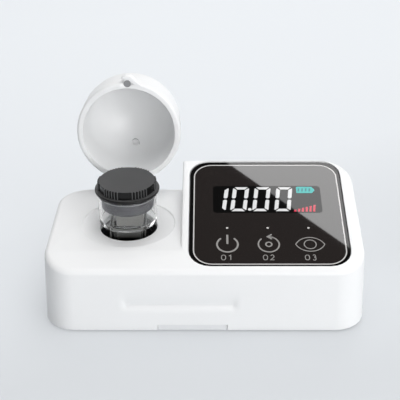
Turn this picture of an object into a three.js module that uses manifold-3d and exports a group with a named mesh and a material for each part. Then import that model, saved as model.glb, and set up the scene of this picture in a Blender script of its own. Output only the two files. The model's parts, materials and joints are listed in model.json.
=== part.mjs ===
// Portable chlorine colorimeter: a white wedge-shaped housing with a sloping glass control panel on the
// right, a level deck with a sample well on the left, a domed lid over the well and a stoppered vial in it.
// Units are millimetres, +Z is up, +X is to the right and the front of the instrument faces -Y.

import * as THREE from 'three';
import { mergeVertices } from 'three/addons/utils/BufferGeometryUtils.js';
import Module from 'manifold-3d';

const wasm = await Module();
wasm.setup();

// Driving dimensions of the housing
const BASE_W = 135.2;
const BASE_D = 67.2;
const FOOT_PROUD = 0.8;
const DECK_H = 31.8;
const TILT_DEG = 15.2;
const CREASE_BACK = 12.3;
const DECK_W = 57.8;
const CORNER_R = 13;
const SIDE_DRAFT_DEG = 2.1;
const FRONT_DRAFT_DEG = 1.2;
const EDGE_R = 2;
const REAR_EDGE_R = 1;
const BASE_EDGE_R = 0.6;
const STEP_EDGE_R = 1.2;
const WALL = 2.2;
const ROOF_T = 3.3;
const DECK_T = 2.2;
const INNER_EDGE_R = 1.2;

// Clearances used all over
const SEAT_GAP = 0.25;
const RUN_GAP = 0.3;
const OVERRUN = 4;
const SKIM = 0.03;

// Sample well mouth in the deck
const DISH_R = 20.15;
const DISH_STEP = 0.8;
const DISH_DROP = 1.6;
const DISH_EDGE_R = 0.35;
const MOUTH_OVER_VIAL = 2.14;
const MOUTH_EDGE_R = 0.4;
const MOUTH_BOSS_OVER = 1.35;
const MOUTH_BOSS_H = 4;

// Lid and hinge
const LID_OVER_DISH = 2.95;
const LID_SIDE_GAP = 0.75;
const WELL_OFF_X = 0.65;
const LID_WALL_T = 2.8;
const LID_SKIRT_H = 15;
const LID_SKIRT_TAPER = 0.35;
const LID_DOME_H = 19;
const LID_RIM_ROUND = 1.2;
const LID_RIM_LEAD = 0.3;
const LID_OPEN_DEG = 95.4;
const LID_MARK_R = 1.75;
const LID_MARK_X = 0.9;
const LID_MARK_BACK = 13.8;
const LID_MARK_DEPTH = 0.8;
const TAB_PROUD = 2.8;
const TAB_TIP_R = 3.6;
const TAB_ROOT_HALF = 8;
const TAB_H = 5;
const TAB_BEVEL = 0.6;
const LID_MAGNET_R = 1.6;
const LID_MAGNET_T = 1.9;
const LID_MAGNET_IN = 0.55;
const HINGE_OVER_LID = 3.95;
const HINGE_IN = 4.9;
const HINGE_RISE = 3.6;
const HINGE_W = 23;
const EAR_T = 4;
const EAR_R = 2.9;
const KNUCKLE_R = 2.8;
const ARM_TOP_H = 9;
const ARM_UNDER_H = 0.6;
const ARM_SINK = 8;
const HEEL_HALF = 0.9;
const PIN_R = 1.25;
const PIN_CHAMFER = 0.3;

// Panel glass, in the plane of the sloping top: across is X, up is the distance up the slope from the crease
const GLASS_LEFT_IN = 3.3;
const GLASS_RIGHT_IN = 7.05;
const GLASS_FRONT_IN = 4.146;
const GLASS_REAR_IN = 1.24;
const GLASS_R = 8.8;
const GLASS_T = 1.1;
const GLASS_SUNK = 0.45;
const GLASS_BEVEL = 0.25;
const OPENING_LEFT = 6.5;
const OPENING_ENDS = 4.5;
const OPENING_R = 3;

// Display, keys and the board behind the glass
const WINDOW_LEFT_IN = 10.2;
const WINDOW_RIGHT_IN = 9.35;
const WINDOW_REAR_IN = 16.55;
const WINDOW_L = 17.1;
const DISPLAY_MARGIN_X = 1.4;
const DISPLAY_MARGIN_UP = 2.6;
const DISPLAY_T = 3.1;
const DISPLAY_EDGE = 0.5;
const KEY_FRONT_IN = 12;
const SPRING_R = 3;
const SPRING_WAIST_R = 2.2;
const SPRING_WIRE = 0.7;
const PANEL_BOARD_LEFT = 0.3;
const PANEL_BOARD_RIGHT = 1.05;
const PANEL_BOARD_FRONT = 5.6;
const PANEL_BOARD_REAR = 5.65;
const BOARD_T = 1.6;
const BOARD_CORNER_R = 2;
const PANEL_POST_R = 2.2;
const PANEL_POST_X_IN = 2.7;
const PANEL_POST_UP_IN = 7;
const PANEL_SCREW_L = 4.2;

// Thumb scoop in the front wall, and the notch for the cover's tongue
const SCOOP_LEFT_IN = 31.1;
const SCOOP_W = 52.5;
const SCOOP_UP = 7.8;
const SCOOP_H = 14;
const SCOOP_LEDGE_H = 4;
const SCOOP_FLOOR_H = 1.2;
const SCOOP_SIDE = 4;
const SCOOP_DEPTH = 1.2;
const SCOOP_R = 5;
const NOTCH_LEFT_IN = 48;
const NOTCH_W = 29.3;
const NOTCH_H = 2.9;

// Case posts, screws and feet
const POST_IN = 3.6;
const POST_END_IN = 11.4;
const POST_R = 3.2;
const POST_BORE_SPARE = 0.9;
const COVER_BOSS_R = 4.2;
const COVER_BOSS_H = 4.3;
const CASE_SCREW_R = 1.25;
const CASE_SCREW_L = 12;
const CASE_HEAD_R = 2.6;
const CASE_HEAD_T = 1.8;
const HEAD_SUNK = 0.6;
const COVER_T = 2.2;
const FOOT_SIDE_IN = 17.6;
const FOOT_END_IN = 11.6;
const FOOT_R = 4.7;
const FOOT_T = 1.45;
const FOOT_EDGE = 0.35;

// Main board, battery and charging socket
const MAIN_LEFT_IN = 6.8;
const MAIN_RIGHT_IN = 9.4;
const MAIN_END_IN = 5.4;
const MAIN_POST_IN = 3.5;
const MAIN_POST_R = 2.8;
const SMALL_SCREW_R = 0.85;
const SMALL_HEAD_R = 2;
const SMALL_HEAD_T = 1.4;
const MAIN_SCREW_L = 6;
const CHIP_W = 10;
const CHIP_T = 1.4;
const SOCKET_W = 8;
const SOCKET_L = 5;
const SOCKET_T = 4.5;
const CELL_LEFT_IN = 7;
const CELL_RIGHT_IN = 4;
const CELL_END_IN = 9;
const CELL_T = 8;
const CELL_EDGE_R = 3;
const CELL_LEAD_W = 11;
const CRADLE_T = 1.2;
const CRADLE_H = 5;
const PAD_SIDE_IN = 9;
const PAD_END_IN = 7;
const PAD_T = 1.25;
const USB_OFF_X = 1.5;
const USB_W = 9;
const USB_H = 3.3;
const USB_L = 9.4;
const USB_SKIN = 0.4;
const USB_DEPTH = 6.5;
const USB_TONGUE_W = 6.7;
const USB_TONGUE_T = 0.7;
const USB_SUNK = 0.4;
const USB_RECESS_W = 13;
const USB_RECESS_H = 7;
const USB_RECESS_T = 0.8;

// Black sample well under the mouth, and its light path along X
const HOLDER_RIM_T = 2.4;
const HOLDER_STEP1_DOWN = 2;
const HOLDER_STEP1_IN = 0.9;
const HOLDER_STEP2_DOWN = 3;
const HOLDER_STEP2_IN = 0.7;
const HOLDER_OVER_VIAL = 0.94;
const HOLDER_FLOOR_DOWN = 6.4;
const HOLDER_WALL = 3;
const HOLDER_LIFT = 1.3;
const HOLDER_BOTTOM_T = 1.3;
const HOLDER_CORNER_R = 3;
const HOLDER_COLLAR_H = 8.55;
const EAR_OVER_RIM = 3.8;
const HOLDER_EAR_R = 3.4;
const HOLDER_EAR_T = 2.4;
const HOLDER_EAR_LIFT = 0.2;
const WELL_POST_R = 3;
const WELL_SCREW_L = 8;
const OPTIC_UP = 8.1;
const PORT_R = 2;
const TUBE_SPARE = 0.6;
const LAMP_TUBE_WALL = 1.25;
const LAMP_R = 2.5;
const LAMP_FLANGE_OVER = 0.4;
const LAMP_FLANGE_T = 1;
const LAMP_L = 7.6;
const LAMP_TIP_IN = 0.55;
const LAMP_PROUD = 0.55;
const DETECT_TUBE_WALL = 1.35;
const FILTER_R = 4;
const FILTER_T = 2;
const DIODE_IN = 0.1;
const DIODE_T = 3.4;
const DIODE_CAN_IN = 0.8;
const DIODE_FLANGE_T = 1;
const OPTIC_BOARD_W = 14;
const OPTIC_BOARD_H = 11;
const BODY_MAGNET_R = 2;
const BODY_MAGNET_T = 2;
const MAGNET_BOSS_R = 3.4;
const MAGNET_BOSS_H = 3.4;

// Vial and stopper
const VIAL_FLOOR_LIFT = 0.3;
const VIAL_HALF = 7.9;
const VIAL_CORNER_R = 2.2;
const VIAL_WALL = 1.25;
const VIAL_FLOOR_T = 1.6;
const VIAL_SHOULDER_UP = 2.05;
const VIAL_SHOULDER_H = 1.8;
const VIAL_NECK_R = 12.5;
const VIAL_NECK_WALL = 0.95;
const VIAL_NECK_H = 11.25;
const VIAL_EDGE_R = 0.4;
const CAP_FLANGE_UP = 1.3;
const CAP_FLANGE_OVER = 1.3;
const CAP_FLANGE_T = 1.1;
const CAP_SEAT_IN = 0.5;
const KNURL_IN = 1.4;
const KNURL_H = 3;
const KNURL_DEPTH = 0.45;
const CAP_TOP_IN = 0.2;
const CAP_TOP_H = 0.6;
const CAP_SPIGOT_R = 5;
const CAP_SPIGOT_H = 3.5;
const PLUG_H = 6.2;
const PLUG_RIB_H = 0.9;
const PLUG_RIB_DEPTH = 0.35;
const PLUG_CHAMFER = 0.5;

// Counts
const CORNER_STEPS = 6;
const EDGE_STEPS = 3;
const ROUND_SEGMENTS = 36;
const INNER_SEGMENTS = 26;
const SMALL_SEGMENTS = 14;
const TINY_SEGMENTS = 10;
const LID_SEGMENTS = 40;
const DOME_STEPS = 7;
const INNER_DOME_STEPS = 6;
const VIAL_POINTS = 36;
const SHOULDER_RISE_SHARES = [0.3, 0.7];
const SHOULDER_ROUND_SHARES = [0.4, 0.78];
const SETTLE_PASSES = 4;
const KNURL_GROUPS = 6;
const GROOVES_PER_GROUP = 6;
const KNURL_GROUP_SHARE = 0.58;
const GROOVE_SHARES = [0, 0.3, 0.6, 0.9];
const SMOOTH_SHARES = [0.33, 0.67];
const PLUG_RIBS = 3;
const KEY_PLACE_SHARES = [0.24012, 0.49739, 0.75466];

// Places that follow from the driving dimensions
const BASE_Z = FOOT_PROUD;
const HALF_W = BASE_W / 2;
const FRONT_Y = -BASE_D / 2;
const REAR_Y = BASE_D / 2;
const DECK_Z = BASE_Z + DECK_H;
const STEP_X = -HALF_W + DECK_W;
const CREASE_Y = FRONT_Y + CREASE_BACK;
const TILT = THREE.MathUtils.degToRad(TILT_DEG);
const SIDE_DRAFT = Math.tan(THREE.MathUtils.degToRad(SIDE_DRAFT_DEG));
const FRONT_DRAFT = Math.tan(THREE.MathUtils.degToRad(FRONT_DRAFT_DEG));
const COVER_TOP_Z = BASE_Z + COVER_T;

// Vial, stopper and well
const VIAL_REACH = Math.SQRT2 * VIAL_HALF - (Math.SQRT2 - 1) * VIAL_CORNER_R;
const SOCKET_HALF = VIAL_HALF + RUN_GAP;
const MOUTH_R = VIAL_REACH + MOUTH_OVER_VIAL;
const MOUTH_BOSS_R = DISH_R + MOUTH_BOSS_OVER;
const HOLDER_STEP2_R = VIAL_REACH + HOLDER_OVER_VIAL;
const HOLDER_STEP1_R = HOLDER_STEP2_R + HOLDER_STEP2_IN;
const HOLDER_BORE_R = HOLDER_STEP1_R + HOLDER_STEP1_IN;
const HOLDER_TOP_R = HOLDER_BORE_R + HOLDER_RIM_T;
const HOLDER_TOP_Z = DECK_Z - MOUTH_BOSS_H - SEAT_GAP;
const HOLDER_COLLAR_Z = HOLDER_TOP_Z - HOLDER_COLLAR_H;
const HOLDER_EAR_Z = HOLDER_COLLAR_Z + HOLDER_EAR_LIFT;
const HOLDER_BOTTOM_Z = COVER_TOP_Z + HOLDER_LIFT;
const HOLDER_HALF = SOCKET_HALF + HOLDER_WALL;
const EAR_SPAN = HOLDER_TOP_R + EAR_OVER_RIM;
const VIAL_BOTTOM_Z = HOLDER_BOTTOM_Z + HOLDER_BOTTOM_T + VIAL_FLOOR_LIFT;
const VIAL_SHOULDER_Z = DECK_Z + VIAL_SHOULDER_UP;
const VIAL_RIM_Z = VIAL_SHOULDER_Z + VIAL_SHOULDER_H + VIAL_NECK_H;
const CAP_FLANGE_Z = VIAL_RIM_Z + CAP_FLANGE_UP;
const CAP_FLANGE_R = VIAL_NECK_R + CAP_FLANGE_OVER;
const CAP_SEAT_R = VIAL_NECK_R - CAP_SEAT_IN;
const KNURL_R = CAP_FLANGE_R - KNURL_IN;
const CAP_TOP_R = KNURL_R - KNURL_DEPTH - CAP_TOP_IN;
const PLUG_R = VIAL_NECK_R - VIAL_NECK_WALL - SEAT_GAP;

// Light path
const OPTIC_Z = HOLDER_BOTTOM_Z + OPTIC_UP;
const TUBE_L = FILTER_T + DIODE_T + 2 * SEAT_GAP + TUBE_SPARE;
const TUBE_END = HOLDER_HALF + TUBE_L;
const LAMP_FLANGE_R = LAMP_R + LAMP_FLANGE_OVER;
const LAMP_TUBE_R = LAMP_FLANGE_R + SEAT_GAP + LAMP_TUBE_WALL;
const DETECT_TUBE_R = FILTER_R + SEAT_GAP + DETECT_TUBE_WALL;
const DIODE_R = FILTER_R - DIODE_IN;
const DIODE_CAN_R = DIODE_R - DIODE_CAN_IN;

// Lid, hinge and where the well stands
const LID_R = DISH_R + LID_OVER_DISH;
const TAB_REACH = LID_R + TAB_PROUD;
const LID_MAGNET_AT_R = LID_R - LID_MAGNET_IN;
const HINGE_BACK = LID_R + HINGE_OVER_LID;
const PIN_Y = REAR_Y - HINGE_IN;
const PIN_Z = DECK_Z + HINGE_RISE;
const LID_X = STEP_X - LID_SIDE_GAP - LID_R;
const WELL_X = LID_X + WELL_OFF_X;
const WELL_Y = PIN_Y - HINGE_BACK;
const LID_SEAT_Z = DECK_Z + RUN_GAP;
const LAMP_BASE_X = WELL_X - HOLDER_HALF + LAMP_TIP_IN - LAMP_L;
const LAMP_TUBE_X = LAMP_BASE_X + LAMP_PROUD;

// Boards, cell, posts and feet
const MAIN_X0 = STEP_X + MAIN_LEFT_IN;
const MAIN_X1 = HALF_W - WALL - MAIN_RIGHT_IN;
const MAIN_MID_X = (MAIN_X0 + MAIN_X1) / 2;
const MAIN_Y1 = REAR_Y - WALL - MAIN_END_IN;
const MAIN_Z = COVER_TOP_Z + CELL_T + PAD_T + 3 * SEAT_GAP;
const CELL_X0 = MAIN_X0 + CELL_LEFT_IN;
const CELL_X1 = MAIN_X1 - CELL_RIGHT_IN;
const CELL_Y1 = MAIN_Y1 - CELL_END_IN;
const USB_X = MAIN_MID_X + USB_OFF_X;
const POST_X = HALF_W - WALL - POST_IN;
const POST_BORE_R = CASE_SCREW_R + SEAT_GAP;
const SMALL_BORE_R = SMALL_SCREW_R + SEAT_GAP;
const POST_Y = REAR_Y - WALL - POST_END_IN;
const CASE_SCREW_TIP_Z = BASE_Z + HEAD_SUNK + CASE_HEAD_T + CASE_SCREW_L;
const FOOT_X = HALF_W - FOOT_SIDE_IN;
const FOOT_Y = REAR_Y - FOOT_END_IN;
const SCOOP_X0 = -HALF_W + SCOOP_LEFT_IN;
const SCOOP_Z0 = BASE_Z + SCOOP_UP;
const NOTCH_X0 = -HALF_W + NOTCH_LEFT_IN;

// Height of the sloping top at a distance back
function slopeZ(y) {
  return DECK_Z + (y - CREASE_Y) * Math.tan(TILT);
}

// Solids: conversion between three.js geometry and closed solids

function solidOf(geometry) {
  const bare = new THREE.BufferGeometry();
  bare.setAttribute('position', geometry.getAttribute('position').clone());
  if (geometry.index) bare.setIndex(geometry.index.clone());
  const merged = mergeVertices(bare, SKIM / 100);
  const points = merged.getAttribute('position').array;
  const index = merged.index.array;
  const faces = [];
  let volume = 0;
  const corner = (i) => new THREE.Vector3().fromArray(points, 3 * i);
  for (let i = 0; i < index.length; i += 3) {
    const [a, b, c] = [index[i], index[i + 1], index[i + 2]];
    if (a === b || b === c || c === a) continue;
    faces.push([a, b, c]);
    volume += corner(a).dot(corner(b).cross(corner(c)));
  }
  const turned = volume < 0 ? faces.map(([a, b, c]) => [a, c, b]) : faces;
  return new wasm.Manifold(new wasm.Mesh({
    numProp: 3,
    vertProperties: new Float32Array(points),
    triVerts: new Uint32Array(turned.flat()),
  }));
}

function geometryOf(solid) {
  const mesh = solid.getMesh();
  const geometry = new THREE.BufferGeometry();
  geometry.setAttribute('position', new THREE.BufferAttribute(new Float32Array(mesh.vertProperties), 3));
  geometry.setIndex(new THREE.BufferAttribute(new Uint32Array(mesh.triVerts), 1));
  geometry.computeVertexNormals();
  return geometry;
}

function joined(first, ...others) {
  return others.reduce((sum, next) => sum.add(next), first);
}

function cut(first, ...others) {
  return others.reduce((rest, next) => rest.subtract(next), first);
}

// Basic forms, each returned as a solid; an optional matrix places it

function placed(geometry, matrix) {
  if (matrix) geometry.applyMatrix4(matrix);
  return solidOf(geometry);
}

function block(x0, x1, y0, y1, z0, z1, matrix) {
  const geometry = new THREE.BoxGeometry(x1 - x0, y1 - y0, z1 - z0);
  geometry.translate((x0 + x1) / 2, (y0 + y1) / 2, (z0 + z1) / 2);
  return placed(geometry, matrix);
}

function post(x, y, radius, z0, z1, segments = TINY_SEGMENTS, matrix = undefined) {
  const geometry = new THREE.CylinderGeometry(radius, radius, z1 - z0, segments);
  geometry.rotateX(Math.PI / 2);
  geometry.translate(x, y, (z0 + z1) / 2);
  return placed(geometry, matrix);
}

function barAlongX(x0, x1, y, z, radius, segments = TINY_SEGMENTS) {
  const geometry = new THREE.CylinderGeometry(radius, radius, x1 - x0, segments);
  geometry.rotateZ(Math.PI / 2);
  geometry.translate((x0 + x1) / 2, y, z);
  return solidOf(geometry);
}

function revolve(profile, segments, matrix) {
  const points = profile.map(([r, z]) => new THREE.Vector2(r, z));
  const geometry = new THREE.LatheGeometry(points, segments);
  geometry.rotateX(Math.PI / 2);
  return placed(geometry, matrix);
}

function prism(shape, z0, z1, matrix) {
  const geometry = new THREE.ExtrudeGeometry(shape, {
    depth: z1 - z0, bevelEnabled: false, curveSegments: CORNER_STEPS,
  });
  geometry.translate(0, 0, z0);
  return placed(geometry, matrix);
}

// A profile drawn in Y and Z, run along X
function runAlongX(shape, x0, x1) {
  const toWorld = new THREE.Matrix4().makeBasis(
    new THREE.Vector3(0, 1, 0), new THREE.Vector3(0, 0, 1), new THREE.Vector3(1, 0, 0),
  );
  toWorld.setPosition(x0, 0, 0);
  return prism(shape, 0, x1 - x0, toWorld);
}

// A skin over rings of points, closed by a flat fan at each end; the rings have equal counts
function loft(rings, matrix) {
  const count = rings[0].length;
  const points = rings.flat();
  const faces = [];
  for (let r = 0; r + 1 < rings.length; r += 1) {
    for (let i = 0; i < count; i += 1) {
      const next = (i + 1) % count;
      const [a, b] = [r * count + i, r * count + next];
      const [c, d] = [a + count, b + count];
      faces.push(a, b, d, a, d, c);
    }
  }
  const middle = (ring) => ring.reduce((sum, p) => sum.add(p), new THREE.Vector3()).divideScalar(count);
  points.push(middle(rings[0]), middle(rings[rings.length - 1]));
  const last = (rings.length - 1) * count;
  for (let i = 0; i < count; i += 1) {
    const next = (i + 1) % count;
    faces.push(points.length - 2, next, i, points.length - 1, last + i, last + next);
  }
  const geometry = new THREE.BufferGeometry().setFromPoints(points);
  geometry.setIndex(faces);
  return placed(geometry, matrix);
}

// Outlines

function roundedOutline(x0, x1, y0, y1, radius, steps = CORNER_STEPS) {
  const corners = [
    [x1 - radius, y0 + radius, -Math.PI / 2],
    [x1 - radius, y1 - radius, 0],
    [x0 + radius, y1 - radius, Math.PI / 2],
    [x0 + radius, y0 + radius, Math.PI],
  ];
  return corners.flatMap(([cx, cy, start]) => Array.from({ length: steps + 1 }, (_, i) => {
    const angle = start + (i / steps) * (Math.PI / 2);
    return [cx + radius * Math.cos(angle), cy + radius * Math.sin(angle)];
  }));
}

function level(outline, z) {
  return outline.map(([x, y]) => new THREE.Vector3(x, y, z));
}

function roundedBlock(x0, x1, y0, y1, z0, z1, radius, steps = 3, matrix = undefined) {
  const outline = roundedOutline(x0, x1, y0, y1, radius, steps);
  return loft([level(outline, z0), level(outline, z1)], matrix);
}

// A ring of the housing's walls: the outline drawn in by the walls' draft at its own height and by an inset
function wallRing(outline, heightAt, inset = 0, rearInset = 0) {
  return outline.map(([x, y]) => {
    const point = new THREE.Vector3(x, y, heightAt(y));
    for (let pass = 0; pass < SETTLE_PASSES; pass += 1) {
      const rise = point.z - BASE_Z;
      point.x = x * (1 - (SIDE_DRAFT * rise + inset) / HALF_W);
      point.y = y * (1 - (y < 0 ? FRONT_DRAFT * rise + inset : rearInset) / REAR_Y);
      point.z = heightAt(point.y);
    }
    return point;
  });
}

// The rings of a rounded top edge under a surface, the last one in the surface itself
function topEdge(outline, surface, radius, rearRadius, outward = 0) {
  return Array.from({ length: EDGE_STEPS + 1 }, (_, i) => {
    const angle = (i / EDGE_STEPS) * (Math.PI / 2);
    const drop = radius * (1 - Math.sin(angle));
    const inShare = 1 - Math.cos(angle);
    const inset = radius * inShare - outward;
    return wallRing(outline, (y) => surface(y) - drop, inset, rearRadius * inShare - outward);
  });
}

// A stick with a hollow quarter-round edge, for rounding a corner at the origin of its own XY plane.
// The material lies towards +X and -Y of the corner.
function roundingStick(radius, length, matrix) {
  const shape = new THREE.Shape();
  shape.moveTo(-OVERRUN, OVERRUN);
  shape.lineTo(-OVERRUN, -radius);
  shape.lineTo(0, -radius);
  shape.absarc(radius, -radius, radius, Math.PI, Math.PI / 2, true);
  shape.lineTo(radius, OVERRUN);
  shape.closePath();
  return prism(shape, 0, length, matrix);
}

// The frame of the sloping panel: X across, Y up the slope from the crease, Z out of the surface
const panelMatrix = new THREE.Matrix4().makeRotationX(TILT);
panelMatrix.setPosition(0, CREASE_Y, DECK_Z);

const GLASS_X0 = STEP_X + GLASS_LEFT_IN;
const GLASS_X1 = HALF_W - GLASS_RIGHT_IN;
const GLASS_UP0 = GLASS_FRONT_IN - CREASE_BACK / Math.cos(TILT);
const GLASS_UP1 = (REAR_Y - CREASE_Y) / Math.cos(TILT) - GLASS_REAR_IN;
const WINDOW_X0 = GLASS_X0 + WINDOW_LEFT_IN;
const WINDOW_X1 = GLASS_X1 - WINDOW_RIGHT_IN;
const WINDOW_UP1 = GLASS_UP1 - WINDOW_REAR_IN;
const WINDOW_UP0 = WINDOW_UP1 - WINDOW_L;
const KEY_UP = GLASS_UP0 + KEY_FRONT_IN;
const POCKET_N = -(GLASS_SUNK + GLASS_T + SEAT_GAP);
const GLASS_UNDER_N = -(GLASS_SUNK + GLASS_T);
const PANEL_PART_TOP_N = GLASS_UNDER_N - SEAT_GAP;
const PANEL_BOARD_TOP_N = PANEL_PART_TOP_N - DISPLAY_T - SEAT_GAP;
const PANEL_BOARD_X0 = STEP_X + WALL + PANEL_BOARD_LEFT + RUN_GAP;
const PANEL_BOARD_X1 = POST_X - POST_R - PANEL_BOARD_RIGHT;
const PANEL_BOARD_UP0 = GLASS_UP0 + PANEL_BOARD_FRONT;
const PANEL_BOARD_UP1 = GLASS_UP1 - PANEL_BOARD_REAR;

function panelPostPlaces() {
  const xs = [PANEL_BOARD_X0 + PANEL_POST_X_IN, PANEL_BOARD_X1 - PANEL_POST_X_IN];
  const ups = [PANEL_BOARD_UP0 + PANEL_POST_UP_IN, PANEL_BOARD_UP1 - PANEL_POST_UP_IN];
  return xs.flatMap((x) => ups.map((up) => [x, up]));
}

function casePostPlaces() {
  return [-POST_X, POST_X].flatMap((x) => [-POST_Y, POST_Y].map((y) => [x, y]));
}

function mainPostPlaces() {
  const xs = [MAIN_X0 + MAIN_POST_IN, MAIN_X1 - MAIN_POST_IN];
  const ys = [MAIN_POST_IN - MAIN_Y1, MAIN_Y1 - MAIN_POST_IN];
  return xs.flatMap((x) => ys.map((y) => [x, y]));
}

// The well's two ears stand on a diagonal, clear of the light path and of the walls
function wellPostPlaces() {
  const along = EAR_SPAN * Math.SQRT1_2;
  return [-1, 1].map((side) => [WELL_X + side * along, WELL_Y + side * along]);
}

// Housing shell

function outerBody() {
  const outline = roundedOutline(-HALF_W, HALF_W, FRONT_Y, REAR_Y, CORNER_R);
  const base = [0, 1, 2].map((i) => {
    const angle = (i / 2) * (Math.PI / 2);
    const inset = BASE_EDGE_R * (1 - Math.sin(angle));
    return wallRing(outline, () => BASE_Z + BASE_EDGE_R * (1 - Math.cos(angle)), inset, inset);
  });
  const wedge = loft([...base, ...topEdge(outline, slopeZ, EDGE_R, REAR_EDGE_R)]);

  const deckEdge = topEdge(outline, () => DECK_Z, EDGE_R, REAR_EDGE_R, SKIM);
  const deckDome = loft([wallRing(outline, () => DECK_Z - 2 * EDGE_R, -SKIM, -SKIM), ...deckEdge]);
  const overDeck = block(
    -HALF_W - OVERRUN, STEP_X, FRONT_Y - OVERRUN, REAR_Y + OVERRUN, DECK_Z - EDGE_R, slopeZ(REAR_Y) + OVERRUN,
  );

  const alongSlope = new THREE.Matrix4().makeRotationX(TILT + Math.PI / 2);
  alongSlope.setPosition(STEP_X, CREASE_Y, DECK_Z);
  const slopeLength = (REAR_Y - CREASE_Y) / Math.cos(TILT) + OVERRUN;
  alongSlope.multiply(new THREE.Matrix4().makeTranslation(0, 0, -slopeLength));
  const stepTopEdge = roundingStick(STEP_EDGE_R, slopeLength, alongSlope).intersect(block(
    -HALF_W, HALF_W, FRONT_Y, REAR_Y + OVERRUN, DECK_Z, slopeZ(REAR_Y) + 2 * OVERRUN,
  ));

  const upRear = new THREE.Matrix4().makeTranslation(STEP_X, REAR_Y, DECK_Z);
  const stepRearEdge = roundingStick(STEP_EDGE_R, slopeZ(REAR_Y) - DECK_Z + OVERRUN, upRear);
  return cut(wedge, overDeck.subtract(deckDome), stepTopEdge, stepRearEdge);
}

function innerSpace() {
  const outline = roundedOutline(
    -HALF_W + WALL, HALF_W - WALL, FRONT_Y + WALL, REAR_Y - WALL, CORNER_R - WALL,
  );
  const roof = (y) => slopeZ(y) - ROOF_T;
  const space = loft([
    wallRing(outline, () => BASE_Z - OVERRUN),
    wallRing(outline, (y) => roof(y) - INNER_EDGE_R),
    wallRing(outline, roof, INNER_EDGE_R, INNER_EDGE_R),
  ]);
  const overDeck = block(
    -HALF_W, STEP_X + WALL, FRONT_Y, REAR_Y, DECK_Z - DECK_T, slopeZ(REAR_Y) + OVERRUN,
  );
  return space.subtract(overDeck);
}

// The dished mouth: a low step at the rim, a shallow fall to the hole, rounded at both edges
function mouthCut() {
  const dishZ = DECK_Z - DISH_STEP;
  const mouthZ = DECK_Z - DISH_DROP;
  const underZ = DECK_Z - MOUTH_BOSS_H - OVERRUN;
  return revolve([
    [0, DECK_Z + OVERRUN],
    [DISH_R + DISH_EDGE_R, DECK_Z + OVERRUN],
    [DISH_R + DISH_EDGE_R, DECK_Z],
    [DISH_R + DISH_EDGE_R * (1 - Math.SQRT1_2), DECK_Z - DISH_EDGE_R * (1 - Math.SQRT1_2)],
    [DISH_R, DECK_Z - DISH_EDGE_R],
    [DISH_R - DISH_EDGE_R, dishZ],
    [MOUTH_R + MOUTH_EDGE_R, mouthZ],
    [MOUTH_R + MOUTH_EDGE_R * (1 - Math.SQRT1_2), mouthZ - MOUTH_EDGE_R * (1 - Math.SQRT1_2)],
    [MOUTH_R, mouthZ - MOUTH_EDGE_R],
    [MOUTH_R, underZ],
    [0, underZ],
  ], ROUND_SEGMENTS, new THREE.Matrix4().makeTranslation(WELL_X, WELL_Y, 0));
}

// The thumb scoop: rings drawn in and sunk together, with a long rounded ledge below and a soft slope above
function scoopCut() {
  const wallY = (z) => FRONT_Y + FRONT_DRAFT * (z - BASE_Z);
  const rampH = SCOOP_H - SCOOP_LEDGE_H - SCOOP_FLOOR_H;
  const ring = (inward, deep) => {
    const outline = roundedOutline(
      SCOOP_X0 + SCOOP_SIDE * inward, SCOOP_X0 + SCOOP_W - SCOOP_SIDE * inward,
      SCOOP_Z0 + SCOOP_LEDGE_H * inward, SCOOP_Z0 + SCOOP_H - rampH * inward,
      SCOOP_R - (SCOOP_R - SCOOP_FLOOR_H / 3) * inward, CORNER_STEPS,
    );
    return outline.map(([x, z]) => new THREE.Vector3(x, wallY(z) + deep, z));
  };
  const rings = [ring(0, -OVERRUN)];
  for (let i = 0; i <= EDGE_STEPS; i += 1) {
    const angle = (i / EDGE_STEPS) * (Math.PI / 2);
    rings.push(ring(Math.sin(angle), SCOOP_DEPTH * (1 - Math.cos(angle)) - (i === 0 ? SKIM : 0)));
  }
  return loft(rings);
}

function hingeEar(x0) {
  const shape = new THREE.Shape();
  const footZ = DECK_Z - DECK_T / 2;
  shape.moveTo(PIN_Y - EAR_R, footZ);
  shape.lineTo(PIN_Y + EAR_R, footZ);
  shape.lineTo(PIN_Y + EAR_R, PIN_Z);
  shape.absarc(PIN_Y, PIN_Z, EAR_R, 0, Math.PI, false);
  shape.closePath();
  return runAlongX(shape, x0, x0 + EAR_T);
}

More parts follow.
